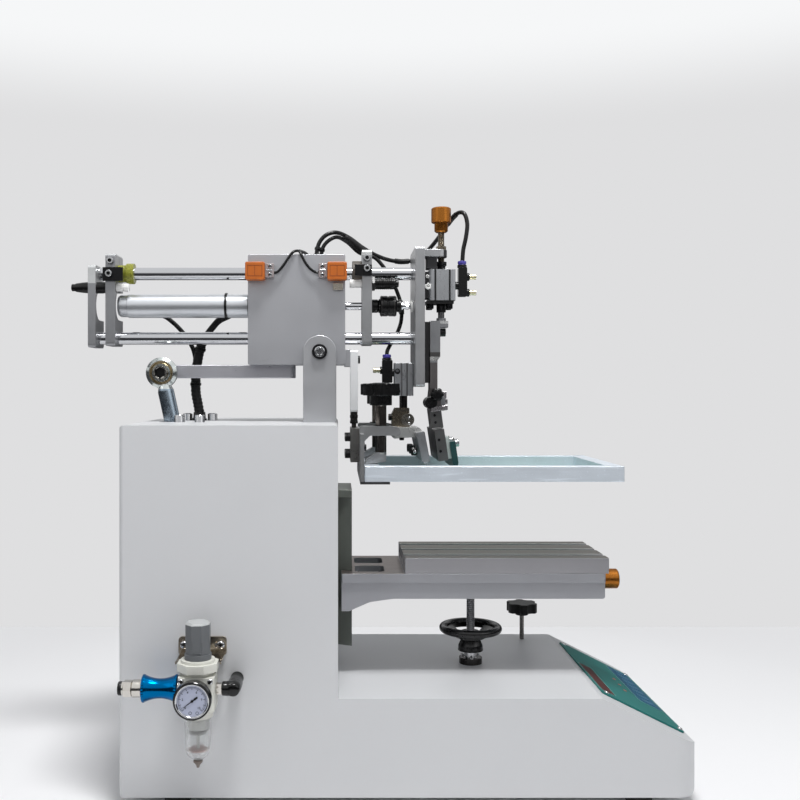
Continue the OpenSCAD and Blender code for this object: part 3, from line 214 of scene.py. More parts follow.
class Finish(Nodes):
    """A material whose colour, gloss and relief come from procedural nodes in the row frame."""

    def __init__(self, name, **sockets):
        self.mat = bpy.data.materials.new(name)
        super().__init__(self.mat)
        self.shader = self.tree.nodes["Principled BSDF"]
        self.point = self.place["Object"]
        self.normal = None
        for key, value in sockets.items():
            self.shader.inputs[key.replace("_", " ")].default_value = value

    def paint(self, colour, tone):
        """The base colour, lighter and darker by the tone."""
        self.put(self.shader.inputs["Base Color"], self.mix(1.0, colour, tone, "MULTIPLY"))

    def noise(self, scale, detail=3.0, stretch=(1, 1, 1)):
        node = self.node("TexNoise")
        node.inputs["Scale"].default_value = scale
        node.inputs["Detail"].default_value = detail
        self.put(node.inputs["Vector"], self.vector("MULTIPLY", self.point, stretch))
        return node.outputs["Fac"]

    def relief(self, height, strength, distance=0.0001):
        node = self.tree.nodes.new("ShaderNodeBump")
        node.inputs["Strength"].default_value = strength
        node.inputs["Distance"].default_value = distance
        self.put(node.inputs["Height"], height)
        if self.normal:
            self.put(node.inputs["Normal"], self.normal)
        self.normal = node.outputs[0]
        self.put(self.shader.inputs["Normal"], self.normal)

    def inside(self, lo, hi):
        """1 inside the box from lo to hi, and 0 outside."""
        lo, hi = Vector(lo) * MM, Vector(hi) * MM
        away = self.vector("ABSOLUTE", self.vector("SUBTRACT", self.point, (lo + hi) / 2))
        x, y, z = self.parts(self.vector("SUBTRACT", away, (hi - lo) / 2))
        return self.math("LESS_THAN", self.math("MAXIMUM", x, self.math("MAXIMUM", y, z)), 0)

    def within(self, centre, axis, r0, r1):
        """1 between two radii from the line through centre along the axis, and 0 elsewhere."""
        flat = tuple(1 - a for a in AXES[axis])
        away = self.vector("MULTIPLY", self.vector("SUBTRACT", self.point, Vector(centre) * MM), flat)
        middle = self.math("SUBTRACT", self.vector("LENGTH", away), (r0 + r1) / 2 * MM)
        return self.math("LESS_THAN", self.math("ABSOLUTE", middle), (r1 - r0) / 2 * MM)


def finish(name, colour, rough, metal=0.0, vary=0.05, blotch=25, grain=700, stretch=(1, 1, 1), smudge=0.06,
        relief=0.08, scratch=0.0, thread=None, patches=(), **sockets):
    """One finished material, its colour in display steps. A patch has a place, which is two corners of a box
    or a mask, and then its own colour, roughness and metal share."""
    f = Finish(name, **sockets)
    colour, gloss, shine = srgb(*colour), rough, metal
    for *where, patch_colour, patch_rough, patch_metal in patches:
        share = f.inside(*where) if len(where) == 2 else where[0](f)
        colour = f.mix(share, colour, srgb(*patch_colour))
        gloss = f.math("ADD", gloss, f.math("MULTIPLY", share, f.math("SUBTRACT", patch_rough, gloss)))
        shine = f.math("ADD", shine, f.math("MULTIPLY", share, f.math("SUBTRACT", patch_metal, shine)))
    shade = f.span(f.noise(blotch, 4), 0.3, 0.7, 1 - vary, 1 + vary)
    fine = f.noise(grain, 3, stretch)
    shade = f.math("MULTIPLY", shade, f.span(fine, 0.25, 0.75, 1 - vary / 2, 1 + vary / 2))
    gloss = f.math("ADD", gloss, f.span(fine, 0.3, 0.7, -smudge, smudge))
    gloss = f.math("ADD", gloss, f.span(f.noise(blotch * 3, 3), 0.35, 0.65, -smudge / 2, smudge / 2))
    if scratch:
        marks = f.span(f.noise(60, 6, (0.25, 6, 6)), 0.6, 0.66, 0, 1)
        cross = f.span(f.noise(80, 6, (5, 0.5, 5)), 0.64, 0.68, 0, 1)
        both = f.math("MAXIMUM", marks, cross)
        shade = f.math("MULTIPLY", shade, f.span(both, 0, 1, 1, 1 + scratch))
        gloss = f.math("ADD", gloss, f.math("MULTIPLY", both, 0.12))
        f.relief(both, 0.15)
    f.paint(colour, shade)
    f.put(f.shader.inputs["Roughness"], gloss)
    f.put(f.shader.inputs["Metallic"], shine)
    f.relief(fine, relief)
    if thread:
        axis, pitch, strength = thread
        along = f.parts(f.point)["xyz".index(axis)]
        turn = f.math("SINE", f.math("MULTIPLY", along, 2 * math.pi / (pitch * MM)))
        f.relief(turn, strength, 0.0006)
    return f.mat


def ring_mask(centre, axis, r0, r1, lo=None, hi=None):
    def mask(f):
        ring = f.within(centre, axis, r0, r1)
        return f.math("MULTIPLY", ring, f.inside(lo, hi)) if lo else ring
    return mask


def slot_edge_highlight_mask(pitch, half, wide, z):
    """1 along both edges of slots that run along X, one slot each pitch, on faces above z: the place of a painted
    highlight, where slot edges catch the light.
    """
    def mask(f):
        _, y, up = f.parts(f.point)
        beat = f.math("MODULO", f.math("ADD", y, (10.5 * pitch) * MM), pitch * MM)
        off = f.math("ABSOLUTE", f.math("SUBTRACT", beat, pitch / 2 * MM))
        near = f.math("LESS_THAN", f.math("ABSOLUTE", f.math("SUBTRACT", off, half * MM)), wide * MM)
        inner = f.math("LESS_THAN", f.math("ABSOLUTE", y), 50 * MM)
        return f.math("MULTIPLY", f.math("MULTIPLY", near, inner), f.math("GREATER_THAN", up, z * MM))
    return mask


BLACK = (22, 22, 24)
DARK_STEEL = (74, 72, 70)
ALLOY = (178, 180, 183)

powder = finish("powder_coat", (206, 207, 209), 0.42, vary=0.012, blotch=6, grain=900, smudge=0.05, relief=0.10,
    Coat_Weight=0.15, Coat_Roughness=0.3)
rubber = finish("foot_rubber", (36, 36, 38), 0.75, vary=0.1, relief=0.2)
block_metal = finish("blasted_aluminium", (184, 185, 189), 0.42, 0.72, vary=0.035, blotch=12, grain=2200, smudge=0.04,
    relief=0.18)
ear_metal = finish("ear_aluminium", (188, 189, 192), 0.42, 0.75, vary=0.03, blotch=14, grain=2000, relief=0.15)
bright_metal = finish("bright_aluminium", (226, 227, 229), 0.26, 0.95, vary=0.02, grain=700, stretch=(0.15, 1, 1),
    relief=0.05)
chrome = finish("hard_chrome", (198, 199, 202), 0.07, 1.0, vary=0.01, grain=500, stretch=(0.1, 1, 1), smudge=0.02,
    relief=0.01)
steel = finish("ground_steel", (196, 197, 200), 0.24, 1.0, vary=0.04, grain=900, relief=0.05)
screw_steel = finish("screw_steel", (188, 189, 191), 0.18, 1.0, vary=0.05, grain=1500, relief=0.05)
black_steel = finish("black_oxide", (24, 24, 26), 0.34, 0.4, vary=0.15, grain=1200, relief=0.08,
    Specular_IOR_Level=0.35)
dark_screw = finish("black_screw", (20, 20, 22), 0.3, 0.4, vary=0.2, grain=1500, relief=0.05, Specular_IOR_Level=0.35)
black_plastic = finish("black_plastic", (12, 12, 13), 0.3, vary=0.12, blotch=60, grain=1400, relief=0.12,
    Specular_IOR_Level=0.32)
gloss_black = finish("gloss_black", (9, 9, 10), 0.16, vary=0.1, grain=500, smudge=0.04, relief=0.03,
    Specular_IOR_Level=0.4)
hose_black = finish("hose_black", (13, 13, 14), 0.3, vary=0.15, grain=600, relief=0.06, Specular_IOR_Level=0.35)
wrap_black = finish("tape_black", (16, 16, 17), 0.45, vary=0.2, grain=900, relief=0.25, Specular_IOR_Level=0.35)
gold = finish("gold_anodised", (166, 104, 40), 0.3, 0.9, vary=0.07, blotch=80, grain=900, relief=0.06)
brass = finish("nickel_brass", (228, 220, 186), 0.26, 0.9, vary=0.05, grain=900, relief=0.03)
nickel = finish("nickel_plate", (206, 202, 196), 0.14, 1.0, vary=0.04, grain=700, smudge=0.03, relief=0.02)
bracket_nickel = finish("bracket_nickel", (166, 156, 142), 0.16, 1.0, vary=0.06, grain=500, smudge=0.03, relief=0.03)
blue = finish("blue_anodised", (0, 98, 154), 0.2, 1.0, vary=0.04, grain=900, stretch=(0.2, 1, 1), smudge=0.02,
    relief=0.015)
violet = finish("collet_violet", (70, 62, 150), 0.35, vary=0.08, relief=0.08)
orange = finish("sensor_orange", (182, 94, 22), 0.4, vary=0.05, blotch=90, grain=1600, relief=0.15)
clear_tail = finish("clear_tail", (150, 140, 140), 0.25, vary=0.1, relief=0.05, Coat_Weight=0.6)
pale_plastic = finish("pale_plastic", (214, 214, 206), 0.42, vary=0.02, grain=1500, relief=0.12)
grey_plastic = finish("grey_plastic", (98, 101, 104), 0.42, vary=0.03, grain=1500, relief=0.12, patches=[
        ((-400, -300, 219.6), (0, 0, 240), (176, 178, 178), 0.4, 0.0)])
white_cap = finish("white_cap", (232, 232, 230), 0.35, vary=0.03, relief=0.08)
red_brown = finish("element_red", (142, 98, 88), 0.5, vary=0.1, relief=0.1)
amber = finish("bumper_polyurethane", (158, 160, 58), 0.28, vary=0.06, relief=0.06, Transmission_Weight=0.35,
    IOR=1.45)
# Painted shade: the front bumper's dark brown is the bumper ring as it looks in shade.
shaded_bumper_brown = finish("bumper_painted_shade", (84, 78, 72), 0.55, vary=0.12, relief=0.2)
slide_metal = finish("slide_phosphate", (112, 116, 110), 0.42, 0.6, vary=0.08, grain=900, stretch=(1, 1, 0.1),
    relief=0.1)
teal_rubber = finish("squeegee_rubber", (24, 62, 62), 0.38, vary=0.1, relief=0.06)
frame_metal = finish("frame_aluminium", (218, 226, 234), 0.38, 0.42, vary=0.04, blotch=30, grain=500,
    stretch=(0.08, 1, 1), relief=0.06, scratch=0.12)
knee_metal = finish("cast_grey", (178, 179, 184), 0.4, 0.6, vary=0.03, blotch=14, grain=1600, relief=0.1, patches=[
        ((-80, -70, 250.9), (-1, 70, 252), (140, 130, 126), 0.36, 0.8),
        # Painted shade: the pocket floors are darker where shade falls in the recesses.
        ((-60, -49, 242.9), (-24, -9, 244), (62, 63, 66), 0.6, 0.2),
        ((-60, 9, 242.9), (-24, 49, 244), (62, 63, 66), 0.6, 0.2)])
table_metal = finish("ground_table", (180, 179, 183), 0.34, 0.5, vary=0.02, blotch=18, grain=900,
    stretch=(0.06, 1, 1), relief=0.02, smudge=0.02, patches=[
        # The darker brown top is partly the table's own tone and partly painted shade and reflection of the head and
        # frame above.
        ((-20, -80, 269.9), (300, 80, 271), (122, 116, 108), 0.34, 0.7),
        # Painted highlight: bright strips along the slot edges, where they catch the light.
        (slot_edge_highlight_mask(40, 5, 1.2, 269.5), (246, 245, 242), 0.3, 0.2)])
# Painted shade: the dark colour of screw sockets, standing for the shade inside their recesses.
socket_painted_shade = finish("socket_painted_shade", (20, 20, 21), 0.45, 0.3, vary=0.1, relief=0.05)
thread_steel = finish("thread_steel", (168, 168, 170), 0.3, 1.0, vary=0.05, thread=("z", 2.5, 0.8))
dial_ink = finish("dial_ink", (14, 15, 20), 0.5, vary=0.05, relief=0.02)


def film(name, colour, cloud, low, high, emboss, **sockets):
    """An even film: cloud is the scale and detail of its tone, and emboss the scale and strength of its relief."""
    f = Finish(name, **sockets)
    f.paint(colour, f.span(f.noise(*cloud), 0.3, 0.7, low, high))
    f.relief(f.noise(emboss[0], 2), emboss[1])
    return f.mat


def make_mesh_cloth():
    """Polyester printing mesh: a plain weave at 0.6 mm, with a greener coated field."""
    f = Finish("screen_mesh", Roughness=0.5, Sheen_Weight=0.15)
    x, y, _ = f.parts(f.point)
    pitch = 2 * math.pi / (0.6 * MM)
    warp = f.math("SINE", f.math("MULTIPLY", x, pitch))
    weft = f.math("SINE", f.math("MULTIPLY", y, pitch))
    weave = f.math("MAXIMUM", f.math("ABSOLUTE", warp), f.math("ABSOLUTE", weft))
    cloud = f.span(f.noise(14, 4), 0.3, 0.7)
    tone = f.mix(cloud, srgb(150, 184, 178), srgb(168, 196, 190))
    tone = f.mix(f.inside((20, -62, 360), (226, 62, 370)), tone, srgb(126, 172, 160))
    f.paint(tone, f.span(weave, 0.3, 1, 0.86, 1.04))
    f.relief(weave, 0.5, 0.00008)
    return f.mat


panel_film = film("panel_film", srgb(38, 110, 106), (18, 3), 0.93, 1.07, (2600, 0.2), Roughness=0.5,
    Specular_IOR_Level=0.2)
key_film = film("key_film", srgb(30, 84, 112), (40, 3), 0.9, 1.1, (2600, 0.2), Roughness=0.45,
    Specular_IOR_Level=0.25)
window_film = film("window_film", srgb(84, 44, 42), (60, 2), 0.85, 1.15, (900, 0.04), Roughness=0.3,
    Specular_IOR_Level=0.3)
bowl_plastic = film("clear_bowl", (0.86, 0.88, 0.88, 1), (60, 3), 0.96, 1.0, (120, 0.05), Roughness=0.08, IOR=1.3,
    Transmission_Weight=0.7, Alpha=0.42)
dial_face = film("dial_face", srgb(168, 174, 196), (90, 2), 0.97, 1.0, (1500, 0.03), Roughness=0.4, Coat_Weight=0.8,
    Coat_Roughness=0.05)
mesh_cloth = make_mesh_cloth()


# Shapes

def radius(kind, r, angle, i, row):
    """The radius of one point of a ring. A hexagon or octagon is given by half its width across flats."""
    if kind in ("hex", "oct"):
        step = math.pi / (3 if kind == "hex" else 4)
        return r / math.cos((angle + step / 2) % step - step / 2)
    if kind == "cross":
        least = min(abs(math.sin(angle)), abs(math.cos(angle)))
        return min(r, 0.26 * r / max(least, 1e-6))
    if kind == "serrated":
        return r - 0.03 * r * (i % 2)
    if kind == "diamond":
        return r - 0.55 * ((i + row) % 2)
    if kind == "lobed":
        return r * (1 - 0.16 * (0.5 - 0.5 * math.cos(6 * angle)) ** 2)
    return r


def rounded(points):
    """An outline through points (x, y, corner radius)."""
    out = []
    for i, (x, y, r) in enumerate(points):
        p = Vector((x, y))
        if r <= 0:
            out.append((x, y))
            continue
        a = (Vector(points[i - 1][:2]) - p).normalized()
        b = (Vector(points[(i + 1) % len(points)][:2]) - p).normalized()
        half = a.angle(b) / 2
        centre = p + (a + b).normalized() * (r / math.sin(half))
        start = p + a * (r / math.tan(half)) - centre
        end = p + b * (r / math.tan(half)) - centre
        turn = start.angle_signed(end)
        for k in range(6):
            t = -turn * k / 5
            out.append((centre.x + start.x * math.cos(t) - start.y * math.sin(t),
                centre.y + start.x * math.sin(t) + start.y * math.cos(t)))
    return out


def smooth_path(points, steps=6):
    """More points along a smooth curve through the given ones."""
    p = [Vector(q) for q in points]
    p = [p[0] * 2 - p[1]] + p + [p[-1] * 2 - p[-2]]
    out = []
    for a, b, c, d in zip(p, p[1:], p[2:], p[3:]):
        for k in range(steps):
            t = k / steps
            out.append(0.5 * (2 * b + (c - a) * t + (2 * a - 5 * b + 4 * c - d) * t * t
                              + (3 * b - a - 3 * c + d) * t ** 3))
    return out + [p[-2]]


SHARP = math.radians(38)
SAME_PLANE = math.radians(0.4)


class Shape:
    """Collects rings, slabs and tubes, and then becomes one piece of the model."""

    def __init__(self):
        self.bm = bmesh.new()

    def rings(self, rows, closed=False, socket=None):
        """Joins rows of points into a skin. Its faces past the row numbered socket get the dark socket colour,
        painted shade of a screw's recess.
        """
        rows = [[self.bm.verts.new(Vector(p) * MM) for p in row] for row in rows]
        n = len(rows[0])
        skin = []
        for a, b in list(zip(rows, rows[1:])) + ([(rows[-1], rows[0])] if closed else []):
            skin += [self.bm.faces.new((a[i], a[(i + 1) % n], b[(i + 1) % n], b[i])) for i in range(n)]
        if not closed:
            self.bm.faces.new(rows[0][::-1])
            skin.append(self.bm.faces.new(rows[-1]))
        if socket:
            for face in skin[socket * n:]:
                face.material_index = 1
        return self

    def lathe(self, start, axis, profile, n=36, turn=0.0, closed=False, socket=None):
        """Rings round the axis: each entry is a distance along it, a radius and perhaps the ring's kind."""
        w = Vector(AXES[axis] if isinstance(axis, str) else axis).normalized()
        u = w.cross(Vector((0, 1, 0)) if abs(w.y) < 0.9 else Vector((0, 0, 1))).normalized()
        v = w.cross(u)
        rows = []
        for row, (t, r, *kind) in enumerate(profile):
            kind = kind[0] if kind else "round"
            ring = []
            for i in range(n):
                a = 2 * math.pi * i / n
                q = radius(kind, r, a, i, row)
                b = a + math.radians(turn)
                ring.append(Vector(start) + w * t + q * (math.cos(b) * u + math.sin(b) * v))
            rows.append(ring)
        return self.rings(rows, closed, socket)

    def slab(self, axis, outline, t0, t1):
        """An outline extruded along an axis: X and Z points along y, Y and Z along x, X and Y along z."""
        place = {"y": lambda a, b, t: (a, t, b), "x": lambda a, b, t: (t, a, b), "z": lambda a, b, t: (a, b, t)}[axis]
        return self.rings([[place(a, b, t) for a, b in outline] for t in (t0, t1)])

    def block(self, lo, hi):
        outline = [(lo[0], lo[1]), (hi[0], lo[1]), (hi[0], hi[1]), (lo[0], hi[1])]
        return self.slab("z", outline, lo[2], hi[2])

    def tube(self, points, r, n=14, steps=6, ripple=0.0, pitch=6.0):
        """A round hose on a smooth curve through the points, perhaps with the ripple of a spiral wrap."""
        path = smooth_path(points, steps)
        up = (path[1] - path[0]).orthogonal().normalized()
        rows, gone = [], 0.0
        for i, p in enumerate(path):
            d = (path[min(i + 1, len(path) - 1)] - path[max(i - 1, 0)]).normalized()
            up = (up - d * up.dot(d)).normalized()
            side = d.cross(up)
            gone += (p - path[i - 1]).length if i else 0.0
            ring = []
            for k in range(n):
                a = 2 * math.pi * k / n
                q = r + ripple * math.sin(2 * math.pi * gone / pitch + a)
                ring.append(p + q * (math.cos(a) * up + math.sin(a) * side))
            rows.append(ring)
        return self.rings(rows)

    def cap_screw(self, p, axis, r, h, flats):
        depth = 0.55 * h
        return self.lathe(p, axis, [(0, r), (0.25, r, "serrated"), (h - 0.16 * r, r, "serrated"),
            (h - 0.12 * r, 0.97 * r), (h, 0.86 * r), (h, flats / 2 + 0.35), (h - 0.3, flats / 2, "hex"),
            (h - depth, flats / 2, "hex")], 36, socket=5)

    def pan_screw(self, p, axis, r, h):
        return self.lathe(p, axis, [(0, r), (0.35 * h, r), (0.7 * h, 0.9 * r), (0.92 * h, 0.72 * r),
            (h, 0.62 * r, "cross"), (0.35 * h, 0.5 * r, "cross")], 32, socket=4)

    def nut(self, p, axis, flats, h, bore):
        a = flats / 2
        return self.lathe(p, axis, [(0, 0.96 * a), (0.4, a, "hex"), (h - 0.4, a, "hex"), (h, 0.96 * a),
            (h, bore + 0.3), (h - 0.4, bore), (0.5 * h, bore)])

    def done(self, name, body, mat, slot, bevel=0.0, replaces=(), bend=None):
        """Turns the shape into a piece that rides its body, or, when bend is given, a piece kept in world space on no
        body.
        """
        bm = self.bm
        bmesh.ops.recalc_face_normals(bm, faces=bm.faces)
        for face in bm.faces:
            face.smooth = True
        for edge in bm.edges:
            edge.smooth = len(edge.link_faces) == 2 and edge.calc_face_angle(0) < SHARP
        mesh = bpy.data.meshes.new(name)
        bm.to_mesh(mesh)
        bm.free()
        mesh.materials.append(mat)
        # Socket faces take the dark socket colour, which is painted shade of the recess.
        if any(face.material_index for face in mesh.polygons):
            mesh.materials.append(socket_painted_shade)
        piece = add(name, mesh)
        if bevel:
            soften(piece, bevel)
        if replaces:
            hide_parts(*replaces)
        if bend:
            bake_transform(piece)
        else:
            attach(piece, body)
        return piece


def soften(piece, width):
    """Rounds a piece's edges over the width, with normals weighted to its flat faces."""
    bevel = piece.modifiers.new("edges", "BEVEL")
    bevel.width = width * MM
    bevel.segments = 2
    bevel.limit_method = "ANGLE"
    bevel.angle_limit = math.radians(32)
    bevel.use_clamp_overlap = True
    weighted = piece.modifiers.new("normals", "WEIGHTED_NORMAL")
    weighted.keep_sharp = True


def smooth_group():
    """Nodes that weld a CAD mesh and mark its edges sharp by their angle."""
    tree = bpy.data.node_groups.new("weld_and_smooth", "GeometryNodeTree")
    tree.interface.new_socket("Geometry", in_out="INPUT", socket_type="NodeSocketGeometry")
    tree.interface.new_socket("Geometry", in_out="OUTPUT", socket_type="NodeSocketGeometry")
    nodes, links = tree.nodes, tree.links
    start, end = nodes.new("NodeGroupInput"), nodes.new("NodeGroupOutput")
    bare = nodes.new("GeometryNodeRemoveAttribute")
    bare.inputs["Name"].default_value = "custom_normal"
    weld = nodes.new("GeometryNodeMergeByDistance")
    weld.inputs["Distance"].default_value = 0.00001
    faces = nodes.new("GeometryNodeSetShadeSmooth")
    edges = nodes.new("GeometryNodeSetShadeSmooth")
    edges.domain = "EDGE"
    edges.inputs["Shade Smooth"].default_value = False
    angle = nodes.new("GeometryNodeInputMeshEdgeAngle")
    steep = nodes.new("ShaderNodeMath")
    steep.operation = "GREATER_THAN"
    steep.inputs[1].default_value = math.radians(28)
    links.new(start.outputs[0], bare.inputs["Geometry"])
    links.new(bare.outputs["Geometry"], weld.inputs["Geometry"])
    links.new(weld.outputs[0], faces.inputs["Geometry"])
    links.new(faces.outputs[0], edges.inputs["Geometry"])
    links.new(angle.outputs["Unsigned Angle"], steep.inputs[0])
    links.new(steep.outputs[0], edges.inputs["Selection"])
    links.new(edges.outputs[0], end.inputs[0])
    return tree


WELD = smooth_group()


def dress(node, mat, bevel=0.4):
    """Gives a CAD node its material and soft edges. Its own mesh stays as it is."""
    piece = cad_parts[node]
    piece.data.materials.clear()
    piece.data.materials.append(mat)
    weld = piece.modifiers.new("weld", "NODES")
    weld.node_group = WELD
    flat = piece.modifiers.new("flat", "DECIMATE")
    flat.decimate_type = "DISSOLVE"
    flat.angle_limit = SAME_PLANE
    if bevel:
        soften(piece, bevel)


# Directions, and axis lines that several pieces share

FRONT, BACK, LEFT, RIGHT, DOWN = (0, -1, 0), (0, 1, 0), (-1, 0, 0), (1, 0, 0), (0, 0, -1)
STROKE_Z, ROD_Z, FEED_Z = 579, 620, 233
SCREW_X, WHEEL_X, STAR_X = 50, 87.3, -29

# Column, base and panel

dress("housing", powder, 2.2)
dress("feet", rubber, 0.8)
dress("control_panel", panel_film, 0.4)
dress("pivot_ears", ear_metal, 0.7)
dress("pivot_pin", black_steel, 0.5)
dress("column_slide", slide_metal, 0.4)
dress("wheel_bearing", finish("bearing_steel", (58, 56, 56), 0.25, 0.9, vary=0.1, relief=0.06, patches=[
        ((60, -30, 134.1), (120, 30, 143), (206, 206, 208), 0.2, 1.0)]), 0.6)
dress("stop_knob", finish("stop_knob_plastic", (10, 10, 11), 0.35, vary=0.12, relief=0.12, patches=[
        ((-500, -500, 0), (500, 500, 159.9), (120, 118, 116), 0.25, 1.0)], Specular_IOR_Level=0.3), 0.9)

caps = Shape()
for x, y in ((-276, -40), (-278, 40), (-251, -40), (-245.5, 40)):
    caps.cap_screw((x, y, 433), "z", 6.25, 9, 5)
caps.done("column_screws", "root", screw_steel, "steel")

for side, y, axis in (("near", -50.6, FRONT), ("far", 50.6, BACK)):
    Shape().lathe((-103.5, y, 519.5), axis, [(0, 6.4), (0.5, 6.3), (0.7, 6.0), (0.7, 4.2), (0.3, 3.55, "hex"),
        (-3.2, 3.55, "hex")], 48, socket=4) \
        .done("pivot_screw_" + side, "root", screw_steel, "steel")

SLOPE = math.radians(26.36)
SLOPE_UP = (math.sin(SLOPE), 0, math.cos(SLOPE))


def on_slope(s, y, h):
    """A point s down the sloping front, at y across it and h above it."""
    return (216.5 + s * math.cos(SLOPE) + h * math.sin(SLOPE), y, 126 - s * math.sin(SLOPE) + h * math.cos(SLOPE))


def slope_plate(shape, s0, s1, y0, y1, h0, h1, r):
    outline = rounded([(s0, y0, r), (s1, y0, r), (s1, y1, r), (s0, y1, r)])
    return shape.rings([[on_slope(s, y, h) for s, y in outline] for h in (h0, h1)])


def slope_frame(shape, s0, s1, y0, y1, w, h0, h1, r):
    """A raised line round a rectangle on the slope."""
    outer = rounded([(s0, y0, r), (s1, y0, r), (s1, y1, r), (s0, y1, r)])
    inner = rounded([(s0 + w, y0 + w, r - w), (s1 - w, y0 + w, r - w), (s1 - w, y1 - w, r - w),
        (s0 + w, y1 - w, r - w)])
    rows = [[on_slope(s, y, h) for s, y in line] for line, h in ((outer, h0), (outer, h1), (inner, h1), (inner, h0))]
    return shape.rings(rows, closed=True)


PANEL_H = 2.2
slope_plate(Shape(), 11.5, 28, -101, 12, PANEL_H - 0.1, PANEL_H + 0.35, 2.5) \
    .done("panel_window", "root", window_film, "panel_film", bevel=0.15)
slope_plate(Shape(), 79, 110, -48, 104, PANEL_H - 0.1, PANEL_H + 0.25, 3) \
    .done("panel_key_field", "root", key_film, "panel_film", bevel=0.12)
line = finish("panel_line", (110, 160, 154), 0.4, vary=0.05, relief=0.05)
lines = Shape()
slope_frame(lines, 10, 29.5, -102.5, 13.5, 0.6, PANEL_H - 0.1, PANEL_H + 0.3, 3)
slope_frame(lines, 77.5, 111.5, -49.5, 105.5, 0.6, PANEL_H - 0.1, PANEL_H + 0.3, 3)
lines.done("panel_lines", "root", line, "panel_film")
keys = Shape()
for i in range(7):
    slope_plate(keys, 86, 102, -42 + 21 * i, -28 + 21 * i, PANEL_H + 0.2, PANEL_H + 1.0, 3)
key_caps = finish("key_caps", (44, 100, 130), 0.45, vary=0.08, relief=0.15)
keys.done("panel_keys", "root", key_caps, "panel_film", bevel=0.35)
lamps = Shape()
for i in range(3):
    lamps.lathe(on_slope(64, -30 + 24 * i, PANEL_H), SLOPE_UP, [(-0.2, 2.4), (0.5, 2.4), (0.9, 1.8), (1.1, 0.8)], 24)
lamps.done("panel_lamps", "root", red_brown, "panel_film")
bolts = Shape()
for s in (14.5, 109.5):
    for y in (-107.5, 107.5):
        bolts.pan_screw(on_slope(s, y, PANEL_H - 0.1), SLOPE_UP, 3.2, 1.8)
bolts.done("panel_screws", "root", screw_steel, "steel")

# Air unit on the column's near side

# The filter's upright axis, and the height of its ports
AX, AY, AZ = -232.7, -183, 149.5
dress("regulator_body", pale_plastic, 0.8)
dress("regulator_knob", grey_plastic, 0.5)
dress("regulator_bracket", bracket_nickel, 0.4)

pans = Shape()
for x, y, z, r, h in ((15.6, AY - 19.4, 162.3, 3.1, 1.8), (20.5, -147.4, 187.5, 4.6, 3)):
    pans.pan_screw((AX - x, y, z), FRONT, r, h).pan_screw((AX + x, y, z), FRONT, r, h)
pans.done("regulator_screws", "root", screw_steel, "steel")
grip = Shape()
for i in range(5):
    grip.block((AX - 5, AY - 13.6, 184 + 1.5 * i), (AX + 5, AY - 12.4, 184.8 + 1.5 * i))
grip.done("regulator_knob_ribs", "root", grey_plastic, "grey_plastic", bevel=0.2)

bowl = Shape()
bowl.lathe((AX, AY, 120), DOWN, [(0, 14.5), (20, 14.4), (32, 14.2), (37, 13.6), (40.5, 12.4), (43.2, 10.4),
    (45.2, 7.8), (46.6, 5.6), (47.4, 4), (47.4, 2.6), (45.4, 4.4), (43.6, 7.4), (41.2, 9.8), (38, 11.4), (32, 12.2),
    (20, 12.5), (3, 12.7)], 56)
bowl.done("bowl_shell", "root", bowl_plastic, "clear_bowl", replaces=("filter_bowl",))
baffle_grey = finish("baffle_grey", (172, 172, 168), 0.5, vary=0.06, relief=0.1)
Shape().lathe((AX, AY, 120), DOWN, [(0, 10.4), (1.5, 10.8), (12, 11), (13.4, 10.4), (13.4, 9), (10, 8.4)], 40) \
    .lathe((AX, AY, 107), DOWN, [(0, 1.7), (22, 1.7), (22.5, 1.2)], 20) \
    .done("bowl_baffle", "root", baffle_grey, "grey_plastic")
deflector_grey = finish("deflector_grey", (104, 102, 100), 0.5, vary=0.1, relief=0.1)
Shape().lathe((AX, AY, 104.4), DOWN, [(0, 1.8), (0, 8.8), (0.6, 9.6), (2.4, 9.6), (3, 9), (3, 1.8)], 40) \
    .done("bowl_deflector", "root", deflector_grey, "grey_plastic")
Shape().lathe((AX, AY, 85), DOWN, [(0, 3), (0, 9.6), (0.6, 10), (1.6, 10), (2.2, 9.4), (2.2, 3)], 40) \
    .done("bowl_disc", "root", red_brown, "grey_plastic")
drain_brown = finish("drain_brown", (116, 106, 98), 0.35, vary=0.1, relief=0.1)
Shape().lathe((AX, AY, 73.2), DOWN, [(0, 2.8), (1.2, 5.1), (2.2, 5.2), (3.4, 5.1), (3.8, 3.4), (5.4, 3.2), (6.2, 2.2),
    (9.2, 1.5)], 32) \
    .done("bowl_drain", "root", drain_brown, "black_plastic")

# The centre of the gauge's front
GAUGE = (AX, AY - 45.5, AZ)
Shape().lathe(GAUGE, BACK, [(1.6, 16.6), (0.6, 17), (0.5, 17.6), (0.1, 18), (0.1, 19.3), (0.9, 20), (9, 20),
    (10, 18.2), (20, 17), (22, 15), (22, 6.1), (26, 6)], 64) \
    .done("gauge_case", "root", gloss_black, "gauge_case", replaces=("pressure_gauge",))
Shape().lathe(GAUGE, BACK, [(1.5, 15.9), (0.9, 16.1), (0.35, 16.7), (0.1, 17.4), (0.25, 17.9), (1.4, 17.9),
    (2, 16.4)], 72, closed=True) \
    .done("gauge_ring", "root", chrome, "gauge_case")
Shape().lathe(GAUGE, BACK, [(1.5, 17.2), (2.2, 17.2)], 64).done("gauge_dial", "root", dial_face, "gauge_case")

# The dial's arc runs from lower left over the top to lower right
DIAL_Y = AY - 44.05
DIAL_START, DIAL_SWEEP = 45, 270
ink = Shape()


def dial_point(r, a):
    """A point of the dial, its angle counted clockwise from straight down."""
    return Vector((AX - r * math.sin(a), 0, AZ - r * math.cos(a)))


def dial_flat(shape, corners, y, thick):
    return shape.rings([[c + Vector((0, y + t, 0)) for c in corners] for t in (0, thick)])


def dial_mark(r0, r1, a, w):
    p, q = dial_point(r0, a), dial_point(r1, a)
    along = (q - p).normalized()
    side = Vector((along.z, 0, -along.x)) * w / 2
    dial_flat(ink, (p - side, p + side, q + side, q - side), DIAL_Y, 0.12)


